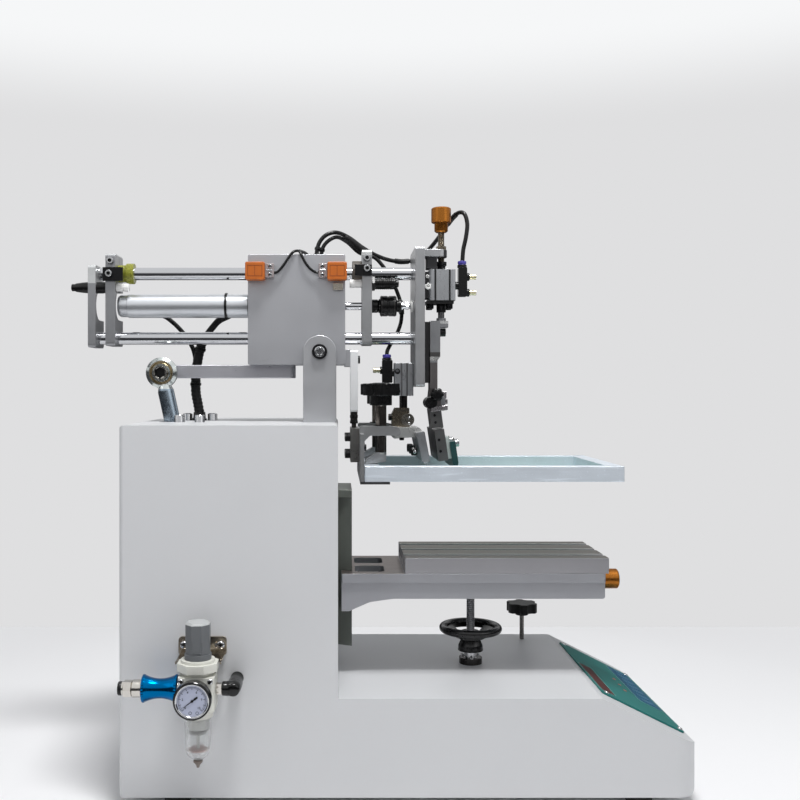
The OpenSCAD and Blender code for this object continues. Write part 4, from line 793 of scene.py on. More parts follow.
for i in range(51):
    turn = math.radians(DIAL_START + DIAL_SWEEP * i / 50)
    dial_mark(12.9 if i % 5 else 12.0, 14.6, turn, 0.34 if i % 5 else 0.6)
for i in range(60):
    a0, a1 = (math.radians(DIAL_START + DIAL_SWEEP * (i + k) / 60) for k in (0, 1))
    arc = [dial_point(r, a) for r, a in ((14.6, a0), (14.6, a1), (14.95, a1), (14.95, a0))]
    dial_flat(ink, arc, DIAL_Y, 0.12)
for x in (-1.9, 5.4):
    ink.lathe((AX + x, AY - 43.95, AZ - 12.4), FRONT, [(0, 1.7), (0.12, 1.7), (0.12, 1.25), (0, 1.25)], 28,
        closed=True)
ink.done("gauge_scale", "root", dial_ink, "gauge_case")

needle = Shape()
aim = math.radians(53)
tip, tail = dial_point(11.6, aim), dial_point(-7.2, aim)
side = Vector(((tip - tail).z, 0, -(tip - tail).x)).normalized()
half = [(tip, 0.16), (dial_point(0, aim), 0.55), (dial_point(-2.6, aim), 0.7), (dial_point(-3.4, aim), 1.15),
    (tail, 0.95)]
dial_flat(needle,
    [half[0][0] - side * half[0][1]] + [p + side * w for p, w in half] + [p - side * w for p, w in half[:0:-1]],
    AY - 44.6, 0.3)
needle.lathe((AX, AY - 43.9, AZ), FRONT, [(0, 1.5), (0.8, 1.5), (1.1, 1.1)], 24)
needle.done("gauge_needle", "root", black_plastic, "gauge_case")


def dial_number(text, a):
    """A plain number of the scale, as a flat mesh."""
    curve = bpy.data.curves.new("number", "FONT")
    curve.body = text
    curve.size = 3.3 * MM
    curve.offset = 0.08 * MM
    curve.extrude = 0.05 * MM
    curve.align_x = curve.align_y = "CENTER"
    loose = add("number", curve)
    mesh = bpy.data.meshes.new_from_object(loose)
    bpy.data.objects.remove(loose)
    mesh.materials.append(dial_ink)
    piece = add("gauge_number_" + text, mesh)
    piece.rotation_euler = (math.radians(90), 0, 0)
    piece.location = (dial_point(10.1, a) + Vector((0, DIAL_Y, 0))) * MM
    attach(piece, "root")


for i in range(6):
    dial_number(str(2 * i), math.radians(DIAL_START + DIAL_SWEEP * i / 5))

# Slide valve with its inlet fitting on the left, and the elbow on the right
VALVE_X = AX - 19.5
waist = [(5.4 + 32.2 * k / 24, 14.6 - 4.1 * math.sin(math.pi * k / 24) ** 0.75) for k in range(1, 24)]
Shape().lathe((VALVE_X, AY, AZ), LEFT, [(1.8, 9), (2, 13), (2.6, 14), (2.8, 14.8, "serrated"), (5, 14.8, "serrated"),
    (5.2, 14.2)] + waist + [(37.8, 14.2), (38, 14.8, "serrated"), (40.2, 14.8, "serrated"), (40.4, 14), (41, 13),
    (41, 9)], 72) \
    .done("slide_valve", "root", blue, "blue_anodised", replaces=("air_fittings",))
Shape().lathe((VALVE_X, AY, AZ), LEFT, [(0, 8.6), (0.6, 9), (2.4, 9)], 48) \
    .lathe((VALVE_X, AY, AZ), LEFT, [(40.6, 9.3), (41.6, 9.6), (42.6, 9.3), (44, 9.6), (50.6, 9.6), (51.5, 8.6),
        (52, 7.5), (52.6, 7.4)], 48) \
    .lathe((VALVE_X, AY, AZ), LEFT, [(51.8, 7.2), (52.3, 8, "hex"), (60.4, 8, "hex"), (61, 7.3), (62.6, 7.2),
        (62.6, 6.2), (62.2, 6)], 48) \
    .done("inlet_nickel", "root", nickel, "nickel")
Shape().lathe((VALVE_X, AY, AZ), LEFT, [(62, 6.6), (63.2, 7.4), (66, 7.5), (66.8, 7), (67, 5.2), (66.2, 4.2),
    (54, 4.1)], 48) \
    .done("inlet_collar", "root", black_plastic, "black_plastic")
ELBOW_X = AX + 19.5
Shape().lathe((ELBOW_X, AY, AZ), RIGHT, [(0, 5.3), (0.4, 5.5, "hex"), (6.4, 5.5, "hex"), (7, 5.2)], 48) \
    .done("outlet_hex", "root", nickel, "nickel")
elbow = Shape()
elbow.lathe((ELBOW_X, AY, AZ), RIGHT, [(6.8, 7), (7.4, 7.6), (15, 7.7), (16, 7.2), (16.4, 6.6), (19, 6.6)], 40)
arc = [(ELBOW_X + 12, AY, AZ), (ELBOW_X + 15.5, AY, AZ), (ELBOW_X + 18.2, AY + 1.6, AZ), (ELBOW_X + 19, AY + 4.5, AZ),
    (ELBOW_X + 19, AY + 9, AZ)]
elbow.tube(arc, 7.9, 32, 6)
elbow.lathe((ELBOW_X + 19, AY + 8, AZ), BACK, [(0, 7.2), (0.8, 8), (12.6, 8.1), (13.4, 7.4), (14, 6.8), (29, 6.8),
    (30, 7.4), (37.8, 7.4)], 40)
elbow.lathe((ELBOW_X + 19, AY - 6.2, AZ), FRONT, [(0, 7), (0.8, 6.6), (1.6, 5.2), (1.9, 3)], 40)
elbow.done("outlet_elbow", "root", gloss_black, "black_plastic")

# Head: block, lever, cylinder and sensors

dress("head_block", block_metal, 0.6)
dress("stroke_cylinder", finish("cylinder_tube", (208, 211, 215), 0.34, 0.8, vary=0.015, grain=700,
    stretch=(0.1, 1, 1), relief=0.015, smudge=0.02, patches=[
        ((-400, 15.2, 560), (-190, 60, 590), BLACK, 0.35, 0.1),
        ((-195, -20, 560), (-190, 20, 600), BLACK, 0.4, 0.3)]), 0.4)
tie = Shape()
tie.lathe((-224.2, 0, STROKE_Z), "x", [(0, 15.2), (0, 16.4), (0.6, 16.8), (2.4, 16.8), (3, 16.4), (3, 15.2)], 48,
    closed=True)
tie.block((-224.4, -5.6, 561.9), (-220.6, -1.6, 564.6))
tie.lathe((-193.9, 0, STROKE_Z), "x", [(0, 14.9), (0, 16), (0.7, 16)], 48)
tie.done("cylinder_tie", "head", black_plastic, "black_plastic")

bar = Shape()
bar.slab("z", rounded([(-313, -6, 8), (-135, -6, 7), (-135, 14, 7), (-313, 14, 8)]), 487.5, 504)
lever_aluminium = finish("lever_aluminium", (192, 192, 198), 0.34, 0.7, vary=0.03, grain=700, stretch=(0.1, 1, 1),
    relief=0.08)
bar.done("lever_body", "head", lever_aluminium, "aluminium", bevel=0.9, replaces=("lever_bar",))
# The centre of the rod end's eye
EYE = (-302, 0, 494)
bolt_zinc = finish("bolt_zinc", (172, 170, 164), 0.22, 1.0, vary=0.1, grain=1200, relief=0.05)
Shape().lathe((EYE[0], -22.3, EYE[2]), FRONT, [(0, 9), (0.3, 9, "serrated"), (6.6, 9, "serrated"), (7, 8.7), (8, 8.2),
    (8, 6.9), (7.6, 6.1, "hex"), (3, 6.1, "hex")], 72, socket=6) \
    .done("lever_bolt", "head", bolt_zinc, "steel")
Shape().lathe((EYE[0], -7.7, EYE[2]), BACK, [(0, 9.2), (0, 10), (1.7, 10), (1.7, 9.2)], 40) \
    .lathe((EYE[0], -22.2, EYE[2]), BACK, [(0, 6.9), (14, 6.9)], 32) \
    .nut((EYE[0], 14, EYE[2]), BACK, 17, 8, 6) \
    .done("lever_spacer", "head", steel, "steel")

dress("rod_end", finish("rod_end_plate", (206, 212, 210), 0.2, 1.0, vary=0.05, blotch=40, grain=900, relief=0.05,
    patches=[
        ((-400, -40, 380), (-250, 0, 474), (150, 164, 176), 0.26, 1.0)]), 0.5)
for side, y, way in (("near", -22, BACK), ("far", -8, FRONT)):
    Shape().lathe((EYE[0], y, EYE[2]), way, [(0.1, 14.6), (-0.1, 14.1), (0.3, 13.4), (1.5, 11.4), (2.2, 10.3),
        (2.9, 10.3), (2.9, 14.4)], 56, closed=True) \
        .done("race_" + side, "rod_end", finish("race_bronze_" + side, (156, 140, 110), 0.3, 0.9, vary=0.1,
            relief=0.06), "gold_anodised")

dress("position_sensors", orange, 0.9)
marks, tails, pins, feelers = Shape(), Shape(), Shape(), Shape()
for lo, way in ((-195, 1), (-94, -1)):
    hi, y = lo + 24, -44.05
    for z in (612.5, 625.5):
        marks.block((lo + 3, y - 0.12, z - 0.3), (hi - 3, y + 0.3, z + 0.3))
    for u in (lo + 3, hi - 3.6):
        marks.block((u, y - 0.12, 612.5), (u + 0.6, y + 0.3, 625.5))
    marks.block((lo + 11.6, y - 0.12, 613), (lo + 12.2, y + 0.3, 625))
    end = hi if way > 0 else lo
    a, b = sorted((end - 0.5 * way, end + 11 * way))
    tails.block((a, -37.5, 611.5), (b, -28.2, 629))
    for z in (615, 625.6):
        pins.pan_screw((end + 6.2 * way, -37.5, z), FRONT, 2.6, 1.5)
    pins.lathe((end + 2.4 * way, -37.4, 620.4), (way, 0, 0), [(0, 1.3), (6.6, 1.3)], 16)
    route = [(end + 8 * way, -33, 618), (end + 15 * way, -33.4, 618.4)]
    if way > 0:
        route += [(-149, -33.6, 626), (-143, -33, 635), (-137, -31.5, 643), (-131.5, -27, 645.6), (-126, -18, 645),
            (-121, -8, 643.6), (-118, 0, 640)]
    else:
        route += [(-116, -33.6, 623), (-122, -33.4, 631), (-126.5, -32, 640), (-129, -27.5, 645.4),
            (-127, -16, 646.6), (-121, -5, 645), (-117, 4, 640)]
    feelers.tube(route, 1.7, 12, 7)
# The lines on the sensors' faces are darker orange: painted shade of their grooves.
groove_painted_shade = finish("groove_painted_shade", (120, 52, 12), 0.6, vary=0.1, relief=0.1)
marks.done("sensor_lines", "head", groove_painted_shade, "sensor_orange")
tails.done("sensor_tails", "head", clear_tail, "grey_plastic", bevel=1.4)
pins.done("sensor_screws", "head", screw_steel, "steel")
feelers.done("sensor_cables", "head", hose_black, "hose")
anvil_steel = finish("anvil_steel", (176, 170, 158), 0.3, 1.0, vary=0.08, relief=0.08)
Shape().block((-87.2, -33.6, 596.4), (-75, -27.9, 605)) \
    .done("stop_anvil", "head", anvil_steel, "steel", bevel=0.5)
Shape().lathe((-118, 1, 640.6), "z", [(0, 6.6), (0.9, 6.4), (1.4, 5.4), (1.4, 3)], 32) \
    .lathe((-108, 16, 640.6), "z", [(0, 6.4), (1.2, 6.4), (5, 5.4), (7, 4.4)], 32) \
    .done("block_grommets", "head", black_plastic, "black_plastic")

# Screen hanger, holder and frame

dress("screen_hanger", finish("hanger_aluminium", (238, 239, 240), 0.4, 0.2, vary=0.01, relief=0.02, smudge=0.015,
    patches=[
        ((-80, -40, 400), (-40, 40, 444.9), DARK_STEEL, 0.3, 0.9),
        ((-55.95, -10, 500), (-40, 10, 520), BLACK, 0.3, 0.3)]), 0.5)
dress("screen_holder", finish("holder_aluminium", (166, 167, 168), 0.38, 0.85, vary=0.05, relief=0.1, patches=[
        ((-66, -33, 380), (-54.9, 33, 430), (140, 139, 136), 0.34, 0.9),
        (ring_mask((STAR_X, -55, 0), "z", 0, 7, (-60, -80, 397.1), (0, -40, 417.5)), (112, 108, 104), 0.2, 1.0),
        (ring_mask((STAR_X, 55, 0), "z", 0, 7, (-60, 40, 397.1), (0, 80, 417.5)), (112, 108, 104), 0.2, 1.0),
        ((-60, -120, 361), (-19, 120, 365.1), (70, 70, 72), 0.4, 0.6)]), 0.35)
held = Shape()
for y in (-20, 20):
    for z in (392, 413):
        held.cap_screw((-65.2, y, z), LEFT, 4.7, 7.4, 4)
for y in (-55, 55):
    held.lathe((STAR_X, y, 428.7), "z", [(0, 9.6), (0.2, 10), (1.2, 10), (1.5, 9.4), (1.5, 7.4), (0, 7.3)], 40,
        closed=True)
for y in (-78, 0, 78):
    held.cap_screw((-50.4, y, 404), RIGHT, 4, 3.2, 3)
held.done("holder_bolts", "head", dark_screw, "black_steel")
nut_black = finish("nut_black", (44, 43, 42), 0.3, 0.7, vary=0.1, relief=0.06)
Shape().nut((-60.8, 0, 434), DOWN, 10, 4, 3.1).nut((-60.8, 0, 441), DOWN, 10, 4, 3.1) \
    .done("hanger_nuts", "head", nut_black, "black_steel")
dress("screen_frame", frame_metal, 0.4)
dress("screen_mesh", mesh_cloth, 0)
seams = Shape()
for x0, x1 in ((-50, -32), (255, 237)):
    for y0, y1 in ((-97.5, -79.5), (97.5, 79.5)):
        d = Vector((x1 - x0, y1 - y0, 0)).normalized()
        s = Vector((-d.y, d.x, 0)) * 0.25
        p, q = Vector((x0, y0, 0)) + d * 1.4, Vector((x1, y1, 0)) - d * 0.4
        seams.rings([[c + Vector((0, 0, z)) for c in (p - s, p + s, q + s, q - s)] for z in (382.8, 383.06)])
weld_line = finish("weld_line", (120, 126, 132), 0.5, 0.6, vary=0.1, relief=0.2)
seams.done("frame_seams", "head", weld_line, "frame_aluminium")

# Carriage: rods, plates, stops and coupling

dress("slide_rods", chrome, 0.5)
dress("rear_plates", finish("rear_plate_metal", (160, 161, 164), 0.36, 0.78, vary=0.05, grain=900,
    stretch=(1, 1, 0.15), smudge=0.03, relief=0.05, patches=[
        ((-395, -30, 606), (-383, 30, 640), (202, 204, 204), 0.36, 0.5),
        ((-372, -30, 641.5), (-358, 30, 650), (202, 204, 204), 0.36, 0.5)]), 0.6)
dress("front_stop_plate", finish("stop_plate_metal", (168, 169, 171), 0.36, 0.78, vary=0.05, grain=900,
    stretch=(1, 1, 0.15), smudge=0.03, relief=0.05, patches=[
        ((-52, -30, 641), (-37, 30, 650), (206, 208, 207), 0.36, 0.5)]), 0.6)
dress("front_plate", finish("front_plate_metal", (170, 171, 173), 0.36, 0.78, vary=0.04, grain=900,
    stretch=(1, 1, 0.12), relief=0.1, patches=[
        ((26.2, -16, 620), (50, 16, 640.3), (50, 50, 52), 0.5, 0.2),
        ((52, -16, 630), (60, 16, 660), (44, 44, 46), 0.4, 0.4)]), 0.6)

stops = Shape()
stops.lathe((-359, 0, ROD_Z), "x", [(0, 8.1), (0, 11), (9.4, 11), (10, 11), (10, 12.4), (10.6, 13), (19.4, 13),
    (20, 12.4), (20, 8.1)], 56, closed=True)
stops.done("rear_bumper", "carriage", amber, "black_plastic", replaces=("end_stops",))
Shape().lathe((-63, 0, ROD_Z), "x", [(0, 8.1), (0, 15.4), (0.6, 16), (11.4, 16), (12, 15.4), (12, 8.1)], 56,
    closed=True) \
    .done("front_bumper", "carriage", shaded_bumper_brown, "black_plastic")
shock = Shape()
shock.lathe((-415.3, -14, 601), "x", [(0, 3.6), (0.5, 4.4), (1.2, 4.5), (4, 4.5), (5, 5), (6.5, 5.5), (13, 6.4),
    (20, 7), (21.6, 7), (22, 6.6), (22.4, 6.6), (22.8, 7), (56.3, 7)], 40)
shock.lathe((-51, -14, 606), "x", [(0, 7), (34, 7), (34.6, 6.6), (35.4, 6.6), (36, 7), (41.4, 7), (42.4, 6)], 40)
shock.lathe((-38.6, -14, 606), "x", [(0, 8), (0.4, 8.5, "hex"), (3.6, 8.5, "hex"), (4, 8)], 48)
shock.lathe((-8.8, -14, 606), "x", [(0, 4), (0.2, 4.4), (3.6, 4.4), (4, 3.6)], 24)
shock.done("shock_bodies", "carriage", black_plastic, "black_plastic")
rod = Shape()
for k in range(9):
    rod.lathe((-33 + 2.4 * k, -14, 606), "x", [(0, 6.9), (0.5, 7.3), (1.1, 7.3), (1.6, 6.9)], 40)
rod.done("shock_threads", "carriage", black_plastic, "black_plastic")
Shape().lathe((-359, -14, 601), "x", [(0, 5), (8.6, 5), (9, 4.4), (9, 4.2), (10, 5.2), (14.6, 5.4), (15.6, 4.6),
    (16, 3)], 32) \
    .lathe((-51, -14, 606), LEFT, [(0, 5), (7.6, 5), (8, 4.6), (9, 5.2), (14.4, 5.3), (15.3, 4.6), (15.5, 3)], 32) \
    .done("shock_caps", "carriage", white_cap, "bright_aluminium")

flags = Shape()
flags.block((-374, -26, 608.5), (-349, -21.9, 625.5))
flags.block((-60, -26, 615), (-38.8, -21.9, 629))
flags.done("sensor_flags", "carriage", dark_screw, "black_steel", bevel=0.4)
clamps = Shape()
for x, z, y in ((-365.2, 634, -22), (-366, 617.5, -26), (-44.8, 637.4, -22), (-44.8, 624, -26)):
    clamps.cap_screw((x, y + 0.1, z), FRONT, 4.4, 4.2, 4)
clamps.done("clamp_screws", "carriage", screw_steel, "steel")

# The rear end of the coupling on the piston
COUPLER = (-38.6, 0, STROKE_Z)
joint = Shape()
joint.lathe(COUPLER, "x", [(0, 8), (0.5, 8.5), (7.6, 8.5), (8.2, 8), (9, 7), (10.6, 7), (11, 11.6), (12, 13),
    (19.8, 13), (20.4, 12.4), (22, 12.4), (22.6, 13), (30.4, 13), (31.6, 12), (32, 8), (32.4, 7.5), (34, 7.5),
    (35, 8.5), (37.6, 8.5), (38, 8)], 56)
joint.lathe((COUPLER[0] + 9, 0, STROKE_Z), "x", [(0, 8), (0.4, 8.5, "hex"), (2, 8.5, "hex"), (2.2, 8)], 48)
joint.done("coupler", "carriage", black_plastic, "black_plastic", replaces=("piston_coupling",))
coupler_grey = finish("coupler_grey", (60, 58, 58), 0.35, 0.4, vary=0.1, relief=0.1)
Shape().lathe((COUPLER[0] + 12.4, 0, STROKE_Z), "x", [(0, 13.1), (0.2, 13.3), (0.8, 13.3), (1, 13.1)], 56) \
    .lathe((COUPLER[0] + 28.6, 0, STROKE_Z), "x", [(0, 13.1), (0.2, 13.3), (0.8, 13.3), (1, 13.1)], 56) \
    .done("coupler_lines", "carriage", coupler_grey, "black_steel")
stem = Shape()
stem.lathe((-231, 0, STROKE_Z), "x", [(0, 4.9), (0.3, 5), (192.6, 5)], 32)
stem.lathe((COUPLER[0] + 37.8, 0, STROKE_Z), "x", [(0, 4.6), (0.4, 5), (1.8, 5), (2.2, 3.4), (5.4, 3.4),
    (5.8, 4.4, "hex"), (9.4, 4.4, "hex"), (9.8, 3.6), (14.8, 3.6)], 36)
stem.done("piston_stem", "carriage", chrome, "chrome")
Shape().lathe((11.2, 0, STROKE_Z), "x", [(0, 6.6), (0.4, 7.4), (2.3, 7.4), (2.8, 7)], 40) \
    .done("coupler_washer", "carriage", white_cap, "bright_aluminium")

# Squeegee cylinder with its guide, flood cylinder and air controls

dress("squeegee_cylinder", finish("extruded_aluminium", ALLOY, 0.32, 0.88, vary=0.03, grain=900, stretch=(1, 1, 0.1),
    relief=0.08, patches=[
        ((25, -15.2, 580), (33.3, 15.2, 622), BLACK, 0.45, 0.1),
        ((25, -20, 560), (80, 20, 585.05), BLACK, 0.4, 0.2),
        ((39.8, -17.5, 584), (42.2, 17.5, 623.9), BLACK, 0.5, 0.1),
        ((57.8, -17.5, 584), (60.2, 17.5, 623.9), BLACK, 0.5, 0.1)]), 0.35)
dress("squeegee_guide", finish("guide_rail", (44, 44, 45), 0.4, 0.4, vary=0.1, relief=0.1), 0.4)
dress("flood_cylinder", finish("flood_extrusion", ALLOY, 0.32, 0.88, vary=0.03, grain=900, stretch=(1, 1, 0.1),
    relief=0.08, patches=[
        ((-2, -12.5, 464), (0, 12.5, 507), (90, 90, 92), 0.5, 0.3),
        ((5, -12.5, 464), (7, 12.5, 507), (90, 90, 92), 0.5, 0.3)]), 0.35)
under = Shape()
for x in (35.5, 59.5):
    for y in (-9, 9):
        under.cap_screw((x, y, 581), DOWN, 4.2, 6.2, 3)
under.lathe((SCREW_X, 0, 581), DOWN, [(0, 5.6), (1, 6), (5, 6), (6, 5.6, "hex"), (9.8, 5.6, "hex"), (10.1, 5.2)], 36)
under.done("cylinder_bolts", "carriage", dark_screw, "black_steel")
Shape().nut((31.8, -14.9, 602.4), FRONT, 7.4, 3.6, 2) \
    .pan_screw((31.4, -14.9, 615), FRONT, 2.2, 1.6) \
    .done("mount_nut", "carriage", white_cap, "steel")
ports = Shape()
for z in (471, 496):
    ports.lathe((-6.2, -12.05, z), FRONT, [(0, 3.6), (0.15, 3.6), (0.15, 2.6), (-0.2, 2.4)], 28)
ports.done("flood_ports", "carriage", dark_screw, "black_steel")
ends = Shape()
for z in (470, 497):
    ends.lathe((-6.2, -11.95, z), FRONT, [(0, 2.3), (0.2, 2.2)], 20)
ends.done("flood_port_plugs", "carriage", screw_steel, "steel")
Shape().nut((SCREW_X, 0, 629.6), "z", 13, 5.4, 4.1).nut((SCREW_X, 0, 624.1), "z", 10, 5.4, 4.1) \
    .done("screw_bush", "carriage", dark_screw, "black_steel")

body = Shape()
body.lathe((66.3, 0, 605), "x", [(0, 5), (5.6, 5)], 32)
body.slab("y", rounded([(71.5, 591, 1.6), (82.5, 591, 1.6), (82.5, 628, 1.6), (71.5, 628, 1.6)]), -6, 6)
body.lathe((76.5, 0, 627.5), "z", [(0, 5.6), (0.6, 6), (3.4, 6), (3.8, 5.4)], 32)
body.lathe((-10.2, 0, 494.5), LEFT, [(0, 5), (3.4, 5)], 32)
body.slab("y", rounded([(-25, 481.5, 1.6), (-12, 481.5, 1.6), (-12, 510.5, 1.6), (-25, 510.5, 1.6)]), -6, 6)
body.lathe((-19, 0, 510), "z", [(0, 5.6), (0.6, 6), (2.6, 6), (3, 5.4)], 32)
for z in (596, 616):
    body.lathe((82.2, 0, z), "x", [(0, 4.6), (0.4, 5), (3.2, 5), (3.6, 4.4)], 32)
body.lathe((-24.8, 0, 497.5), LEFT, [(0, 4.4), (0.4, 4.8), (2.6, 4.8), (3, 4.2)], 32)
body.done("speed_bodies", "carriage", black_plastic, "black_plastic", bevel=0.3, replaces=("speed_controllers",))
Shape().lathe((76.5, 0, 631), "z", [(0, 5), (1.4, 5), (2, 5.5), (4.4, 5.5), (5, 5), (5, 3.4)], 32) \
    .lathe((-19, 0, 512.6), "z", [(0, 4.8), (1, 4.8), (1.6, 5.4), (4.3, 5.4), (4.9, 4.8), (4.9, 3)], 32) \
    .done("collets", "carriage", violet, "blue_anodised")
knobs = Shape()
for start, way in (((85.4, 0, 596), 1), ((85.4, 0, 616), 1), ((-27.6, 0, 497.5), -1)):
    knobs.lathe(start, (way, 0, 0), [(0, 2.2), (0.6, 2.2), (0.8, 3.3, "serrated"), (3.2, 3.3, "serrated"), (3.4, 2.3),
        (4.2, 2.3), (4.4, 3.4, "serrated"), (8.4, 3.4, "serrated"), (8.9, 2.9), (8.9, 1.2), (8.2, 1.1)], 40)
knobs.done("needle_screws", "carriage", brass, "nickel")

# Squeegee arm, holder and blade

dress("squeegee_arm", finish("arm_aluminium", (156, 157, 160), 0.36, 0.88, vary=0.05, grain=900, stretch=(1, 1, 0.15),
    relief=0.1, patches=[
        ((20, -20, 440), (48, 20, 507), (112, 108, 108), 0.4, 0.8),
        ((34, -20, 509.6), (48, 20, 514.4), (232, 232, 230), 0.25, 0.9),
        ((34, -20, 514.4), (48, 20, 520), (86, 84, 84), 0.4, 0.7),
        ((34, -11, 556), (59, 11, 560), (232, 233, 232), 0.25, 0.8),
        (ring_mask((SCREW_X, 0, 0), "z", 0, 5.2, (40, -10, 563), (60, 10, 620)), (120, 120, 122), 0.2, 1.0),
        (ring_mask((35.8, 0, 456.5), "y", 0, 7.7), (34, 33, 34), 0.35, 0.4)]), 0.4)
black = Shape()
black.cap_screw((47.3, 0, 545.5), "x", 5.2, 8.4, 4)
black.lathe((42.9, -15.9, 467), FRONT, [(0, 4.5), (1.2, 4.6), (1.5, 7.4, "lobed"), (2.2, 8.2, "lobed"),
    (6.4, 8.2, "lobed"), (7.6, 7.2, "lobed"), (8, 5.5), (8.2, 3)], 60)
black.lathe((35.8, -17, 456.5), FRONT, [(0, 7.5), (0.8, 7.5), (1.4, 6.8), (1.4, 4), (0.8, 3.6)], 48)
black.lathe((35.8, 17, 456.5), BACK, [(0, 7.5), (0.8, 7.5), (1.4, 6.8), (1.4, 4), (0.8, 3.6)], 48)
black.done("tilt_knobs", "squeegee", black_plastic, "black_plastic")
grey = Shape()
grey.slab("y", rounded([(35.6, 444.6, 0.8), (56.4, 447.4, 0.8), (56.4, 453.6, 0.8), (35.6, 450.8, 0.8)]), -18.4,
    -15.6)
grey.slab("y", rounded([(47, 461.6, 0.8), (55.2, 461.6, 0.8), (55.2, 470.4, 0.8), (47, 470.4, 0.8)]), -15.2, -8)
grey.slab("y", rounded([(50.4, 455, 0.6), (56.8, 455, 0.6), (56.8, 461, 0.6), (50.4, 461, 0.6)]), -14, 14)
clamp_grey = finish("clamp_grey", (176, 172, 174), 0.3, 0.9, vary=0.06, relief=0.06)
grey.done("tilt_clamp_bars", "squeegee", clamp_grey, "aluminium", bevel=0.4)
Shape().lathe((53.3, 0, 457.5), "x", [(0, 3.2), (1.8, 3.2), (2.3, 2.6), (2.3, 1.7), (1.4, 1.5, "hex"),
    (0.4, 1.5, "hex")], 36) \
    .done("tilt_set_screw", "squeegee", screw_steel, "steel")

LEAN = math.radians(8)


def lean(d, e):
    """A point on the leaning holder, d below its top and e before its back."""
    return (33.2 + d * math.sin(LEAN) + e * math.cos(LEAN), 449 - d * math.cos(LEAN) + (e - 16) * math.sin(LEAN))


def lean_slab(shape, corners, y0, y1):
    return shape.slab("y", rounded([(*lean(d, e), r) for d, e, r in corners]), y0, y1)


dress("squeegee_holder", finish("holder_body", (112, 112, 112), 0.38, 0.85, vary=0.06, relief=0.1), 0.35)
light = Shape()
lean_slab(light, [(33.6, 12.2, 0.3), (60.4, 12.2, 0.3), (60.4, 16.35, 0.3), (33.6, 16.35, 0.3)], -50.3, 50.3)
clamp_face_alloy = finish("clamp_face_alloy", (206, 216, 212), 0.34, 0.5, vary=0.03, smudge=0.02, relief=0.05)
light.done("clamp_face", "squeegee", clamp_face_alloy, "bright_aluminium")
pits = Shape()
for d in (36, 50):
    pits.lathe((lean(d, 4)[0], -50.1, lean(d, 4)[1]), FRONT, [(0, 1.7), (0.12, 1.7), (0.12, 1.2), (-0.3, 1.1)], 24)
for d in (7, 16):
    pits.lathe((lean(d, 6)[0], -16, lean(d, 6)[1]), FRONT, [(0, 1.6), (0.14, 1.6), (0.14, 1), (0, 1)], 20)
pits.done("holder_pins", "squeegee", dark_screw, "black_steel")
dress("squeegee_blade", teal_rubber, 0.3)
out = Vector((math.cos(LEAN), 0, math.sin(LEAN)))
thumb, washers = Shape(), Shape()
for y in (-27.5, 27.5):
    start = Vector((lean(44, 12)[0], y, lean(44, 12)[1]))
    washers.lathe(start + out * 11.1, out, [(0, 6), (0.2, 6.3), (1.6, 6.3), (1.8, 6)], 36)
    thumb.lathe(start + out * 12.8, out, [(0, 3.6), (0.4, 4.8, "serrated"), (4.2, 5, "serrated"), (5, 4.2),
        (5.4, 2.6)], 40)
washers.done("thumb_washers", "squeegee", black_plastic, "black_plastic")
thumb.done("thumb_screws", "squeegee", screw_steel, "steel")

# Flood bar

dress("flood_arm", finish("flood_arm_metal", (168, 169, 172), 0.36, 0.88, vary=0.05, relief=0.1, patches=[
        ((-13, -31, 411), (25, 31, 426.1), (214, 214, 212), 0.32, 0.8),
        ((-20, -11, 426), (12, 11, 451), (132, 124, 110), 0.26, 0.95),
        ((-6, -11, 446), (12, 11, 447.6), (60, 56, 52), 0.5, 0.5),
        (ring_mask((7, 0, 435), "y", 0, 8.1), (150, 146, 138), 0.28, 1.0),
        ((-4, -6, 450.2), (8, 6, 470), (72, 70, 68), 0.22, 1.0),
        ((9, -6, 391), (14.3, 6, 402), BLACK, 0.4, 0.2)]), 0.45)
dress("flood_blade", bright_metal, 0)
flood = Shape()
for y in (-36, 0, 36):
    flood.lathe((16.5, y, 397), LEFT, [(0, 4.8), (1.2, 4.8), (1.6, 5.4, "serrated"), (6.6, 5.4, "serrated"),
        (7.4, 4.4), (7.4, 3)], 36)
flood.cap_screw((-12.2, 0, 438), LEFT, 4.2, 4.9, 3)
flood.lathe((-2, -30, 413.6), DOWN, [(0, 3), (3, 3), (3.4, 2.4)], 24)
flood.done("flood_knobs", "flood", black_plastic, "black_plastic")
small = Shape()
for z in (437.4, 430.4):
    small.pan_screw((8.4, -11.9, z), FRONT, 1.7, 0.9)
small.pan_screw((12.4, -51.9, 397), FRONT, 2, 1)
small.done("flood_screws", "flood", screw_steel, "steel")

# Knurled knobs: the pressure screw's and the table feed's

def knurled(shape, p, axis):
    """A knob of two steps whose larger one has a diamond knurl."""
    neck = [(0, 6.6), (1.6, 8.4), (2.2, 8.6), (11.6, 8.6), (12.2, 8.9), (12.3, 11.6), (12.9, 12.2)]
    grip = [(13.5 + 0.9 * k, 12.5, "diamond") for k in range(19)]
    top = [(30.3, 12.2), (31, 11.6), (31.5, 10.8), (31.5, 4.6), (31, 4.2), (31, 1)]
    return shape.lathe(p, axis, neck + grip + top, 56)


